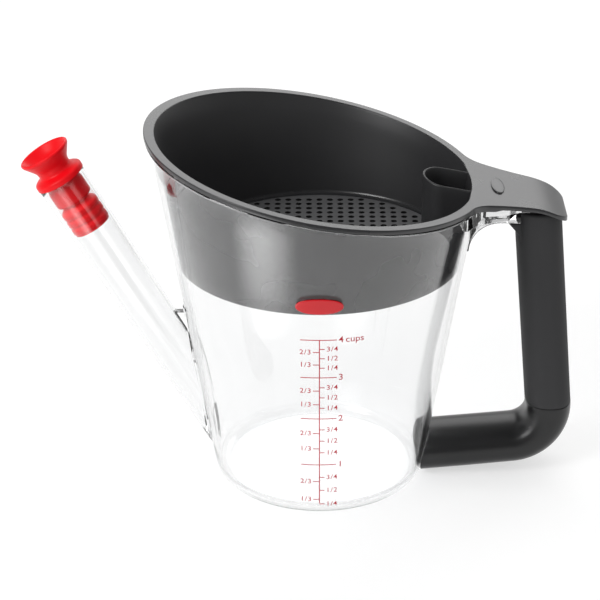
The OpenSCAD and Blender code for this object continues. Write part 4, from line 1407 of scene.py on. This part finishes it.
# %% [markdown]
# The studio: a white sweep, a dark ceiling and a few wide soft lights. The sweep shows white
# wherever the camera, a reflection or clear plastic sees it, but keeps the object's shadow.
# To reflections it ends in front, as a sheet of paper does, so upright faces mirror the dark.
# Two small helpers keep the node trees of sweep, room and card short.

# %% Nodes that reckon
def math_node(tree, operation, a, b):
    """One Math node: each of a and b is a socket or a number."""
    node = tree.nodes.new("ShaderNodeMath")
    node.operation = operation
    for socket, value in zip(node.inputs, (a, b)):
        if isinstance(value, (int, float)):
            socket.default_value = value
        else:
            tree.links.new(value, socket)
    return node.outputs[0]


def ramp_node(tree, value, low, high, at_low=0.0, at_high=1.0):
    """A smooth step of a value from one number to another."""
    node = tree.nodes.new("ShaderNodeMapRange")
    node.interpolation_type = "SMOOTHSTEP"
    for label, number in (("From Min", low), ("From Max", high), ("To Min", at_low), ("To Max", at_high)):
        node.inputs[label].default_value = number
    tree.links.new(value, node.inputs["Value"])
    return node.outputs["Result"]


print("helpers for the studio are ready")

# %% [markdown]
# The sweep is two things at once. To the object it is a plain pale sheet that gives back the
# lamps' light. To the camera, through clear plastic and in reflections it is a darker sheet
# with a white glow added, so it comes out white and the object's shadow still shows on it.

# %% The white sweep
SWEEP_COLOUR, SWEEP_SEEN, SWEEP_GLOW = 0.86, 0.41, 0.585
SWEEP_FRONT, SWEEP_FADE, FRONT_GLOSS, SWEEP_SIZE = -0.295, 0.05, 0.8, 8.0

floor_material = bpy.data.materials.new("white_sweep")
floor_material.use_nodes = True
tree = floor_material.node_tree
shader = tree.nodes["Principled BSDF"]
shader.inputs["Roughness"].default_value = 0.9
shader.inputs["Specular IOR Level"].default_value = 0.0
path = tree.nodes.new("ShaderNodeLightPath")
eye_or_clear = math_node(tree, "MAXIMUM", path.outputs["Is Camera Ray"], path.outputs["Is Transmission Ray"])
seen = math_node(tree, "MAXIMUM", eye_or_clear, path.outputs["Is Glossy Ray"])
split = tree.nodes.new("ShaderNodeSeparateXYZ")
tree.links.new(tree.nodes.new("ShaderNodeNewGeometry").outputs["Position"], split.inputs["Vector"])
on_paper = ramp_node(tree, split.outputs["Y"], SWEEP_FRONT - SWEEP_FADE, SWEEP_FRONT)
off_paper = math_node(tree, "SUBTRACT", 1.0, on_paper)
in_gloss = math_node(tree, "MULTIPLY", path.outputs["Is Glossy Ray"], off_paper)
shown = math_node(tree, "SUBTRACT", seen, in_gloss)
tree.links.new(math_node(tree, "MULTIPLY", shown, SWEEP_GLOW), shader.inputs["Emission Strength"])
shader.inputs["Emission Color"].default_value = (1, 1, 1, 1)
grey = tree.nodes.new("ShaderNodeCombineColor")
darker = math_node(tree, "MULTIPLY", seen, SWEEP_COLOUR - SWEEP_SEEN)
level = math_node(tree, "SUBTRACT", SWEEP_COLOUR, darker)
level = math_node(tree, "SUBTRACT", level, math_node(tree, "MULTIPLY", in_gloss, SWEEP_SEEN * FRONT_GLOSS))
for channel in grey.inputs[:3]:
    tree.links.new(level, channel)
tree.links.new(grey.outputs["Color"], shader.inputs["Base Color"])
bpy.ops.mesh.primitive_grid_add(x_subdivisions=8, y_subdivisions=8, size=SWEEP_SIZE, location=(0, 0, 0))
floor = bpy.context.active_object
floor.name = "studio_floor"
floor.data.materials.append(floor_material)
print("sweep ends in front at y =", SWEEP_FRONT)

# %% [markdown]
# The room behind the sweep is the world. The camera sees it white. Glossy faces mirror it
# light near the horizon and dark above, so the black plastic gets a light and a dark part.
# Rays that come through clear plastic see it at least three quarters white.

# %% The room
WORLD_FILL, ROOM_WHITE, ROOM_DARK, ROOM_GLOSS, ROOM_CLEAR = 0.6, 1.0, 0.12, 0.8, 0.75
WHITE_UP_TO, DARK_FROM = 0.04, 0.2

world = bpy.data.worlds.new("studio")
bpy.context.scene.world = world
world.use_nodes = True
tree = world.node_tree
background = tree.nodes["Background"]
background.inputs["Color"].default_value = (1, 1, 1, 1)
path = tree.nodes.new("ShaderNodeLightPath")
split = tree.nodes.new("ShaderNodeSeparateXYZ")
tree.links.new(tree.nodes.new("ShaderNodeTexCoord").outputs["Generated"], split.inputs["Vector"])
room = ramp_node(tree, split.outputs["Z"], WHITE_UP_TO, DARK_FROM, ROOM_WHITE, ROOM_DARK)
glossy = math_node(tree, "MULTIPLY", path.outputs["Is Glossy Ray"], ROOM_GLOSS)
mirrored = math_node(tree, "MAXIMUM", glossy, path.outputs["Is Transmission Ray"])
through_clear = math_node(tree, "GREATER_THAN", path.outputs["Transmission Depth"], 0.5)
in_clear = math_node(tree, "MULTIPLY", through_clear, ROOM_CLEAR)
fill = math_node(tree, "MULTIPLY", path.outputs["Is Diffuse Ray"], WORLD_FILL)
strength = math_node(tree, "MULTIPLY", mirrored, math_node(tree, "MAXIMUM", room, in_clear))
strength = math_node(tree, "MAXIMUM", strength, path.outputs["Is Camera Ray"])
strength = math_node(tree, "MAXIMUM", strength, fill)
tree.links.new(strength, background.inputs["Strength"])
print("room:", WORLD_FILL, ROOM_WHITE, ROOM_DARK)

# %% [markdown]
# Three softboxes light the object: one over it, which is kept out of the reflections, a wide
# one behind it, and a smaller and stronger one high at the left in front.

# %% The lamps
def soft_light(name, place, target, size, glow):
    """A rectangular softbox of an even brightness, where 1 is white."""
    light = bpy.data.lights.new(name, "AREA")
    light.shape, light.size, light.size_y = "RECTANGLE", size[0], size[1]
    light.energy = glow * pi * size[0] * size[1]
    lamp = bpy.data.objects.new(name, light)
    bpy.context.scene.collection.objects.link(lamp)
    lamp.location = place
    lamp.rotation_mode = "QUATERNION"
    lamp.rotation_quaternion = (Vector(target) - Vector(place)).to_track_quat("-Z", "Y")
    return lamp


top = soft_light("top_softbox", (0.1, 0.6, 1.25), (0, 0, 0.1), (1.2, 0.8), 1.8)
top.visible_glossy = False
soft_light("back_softbox", (0.35, 1.5, 0.82), (0, 0, 0.12), (2.2, 0.62), 2.2)
soft_light("left_softbox", (-0.8, -0.66, 0.78), (0, 0, 0.08), (0.5, 0.7), 8.5)

# %% [markdown]
# A small glowing card stands low at the left in front, for the glossy band to mirror. It
# adds no diffuse light. Two sines fade it towards its edges, so that no border shows.

# %% The card at the left
CARD_GLOW, CARD_FADE = 2.6, 1.5
card = soft_light("left_card", (-0.107, -0.147, 0.055), (0, 0, 0.13), (0.15, 0.15), 1.0)
card.visible_diffuse = False
card.data.use_nodes = True
tree = card.data.node_tree
split = tree.nodes.new("ShaderNodeSeparateXYZ")
tree.links.new(tree.nodes.new("ShaderNodeNewGeometry").outputs["Parametric"], split.inputs["Vector"])
across, along = (math_node(tree, "SINE", math_node(tree, "MULTIPLY", split.outputs[axis], pi), 0.0)
                 for axis in "XY")
fade = math_node(tree, "POWER", math_node(tree, "MULTIPLY", across, along), CARD_FADE)
tree.links.new(math_node(tree, "MULTIPLY", fade, CARD_GLOW), tree.nodes["Emission"].inputs["Strength"])
print("card fades towards its edges")

# %% [markdown]
# Colours come out as they are written only under the Standard view. The other views bend
# them for film-like pictures, which would make the white ground grey.

# %% The view
bpy.context.scene.view_settings.view_transform = "Standard"
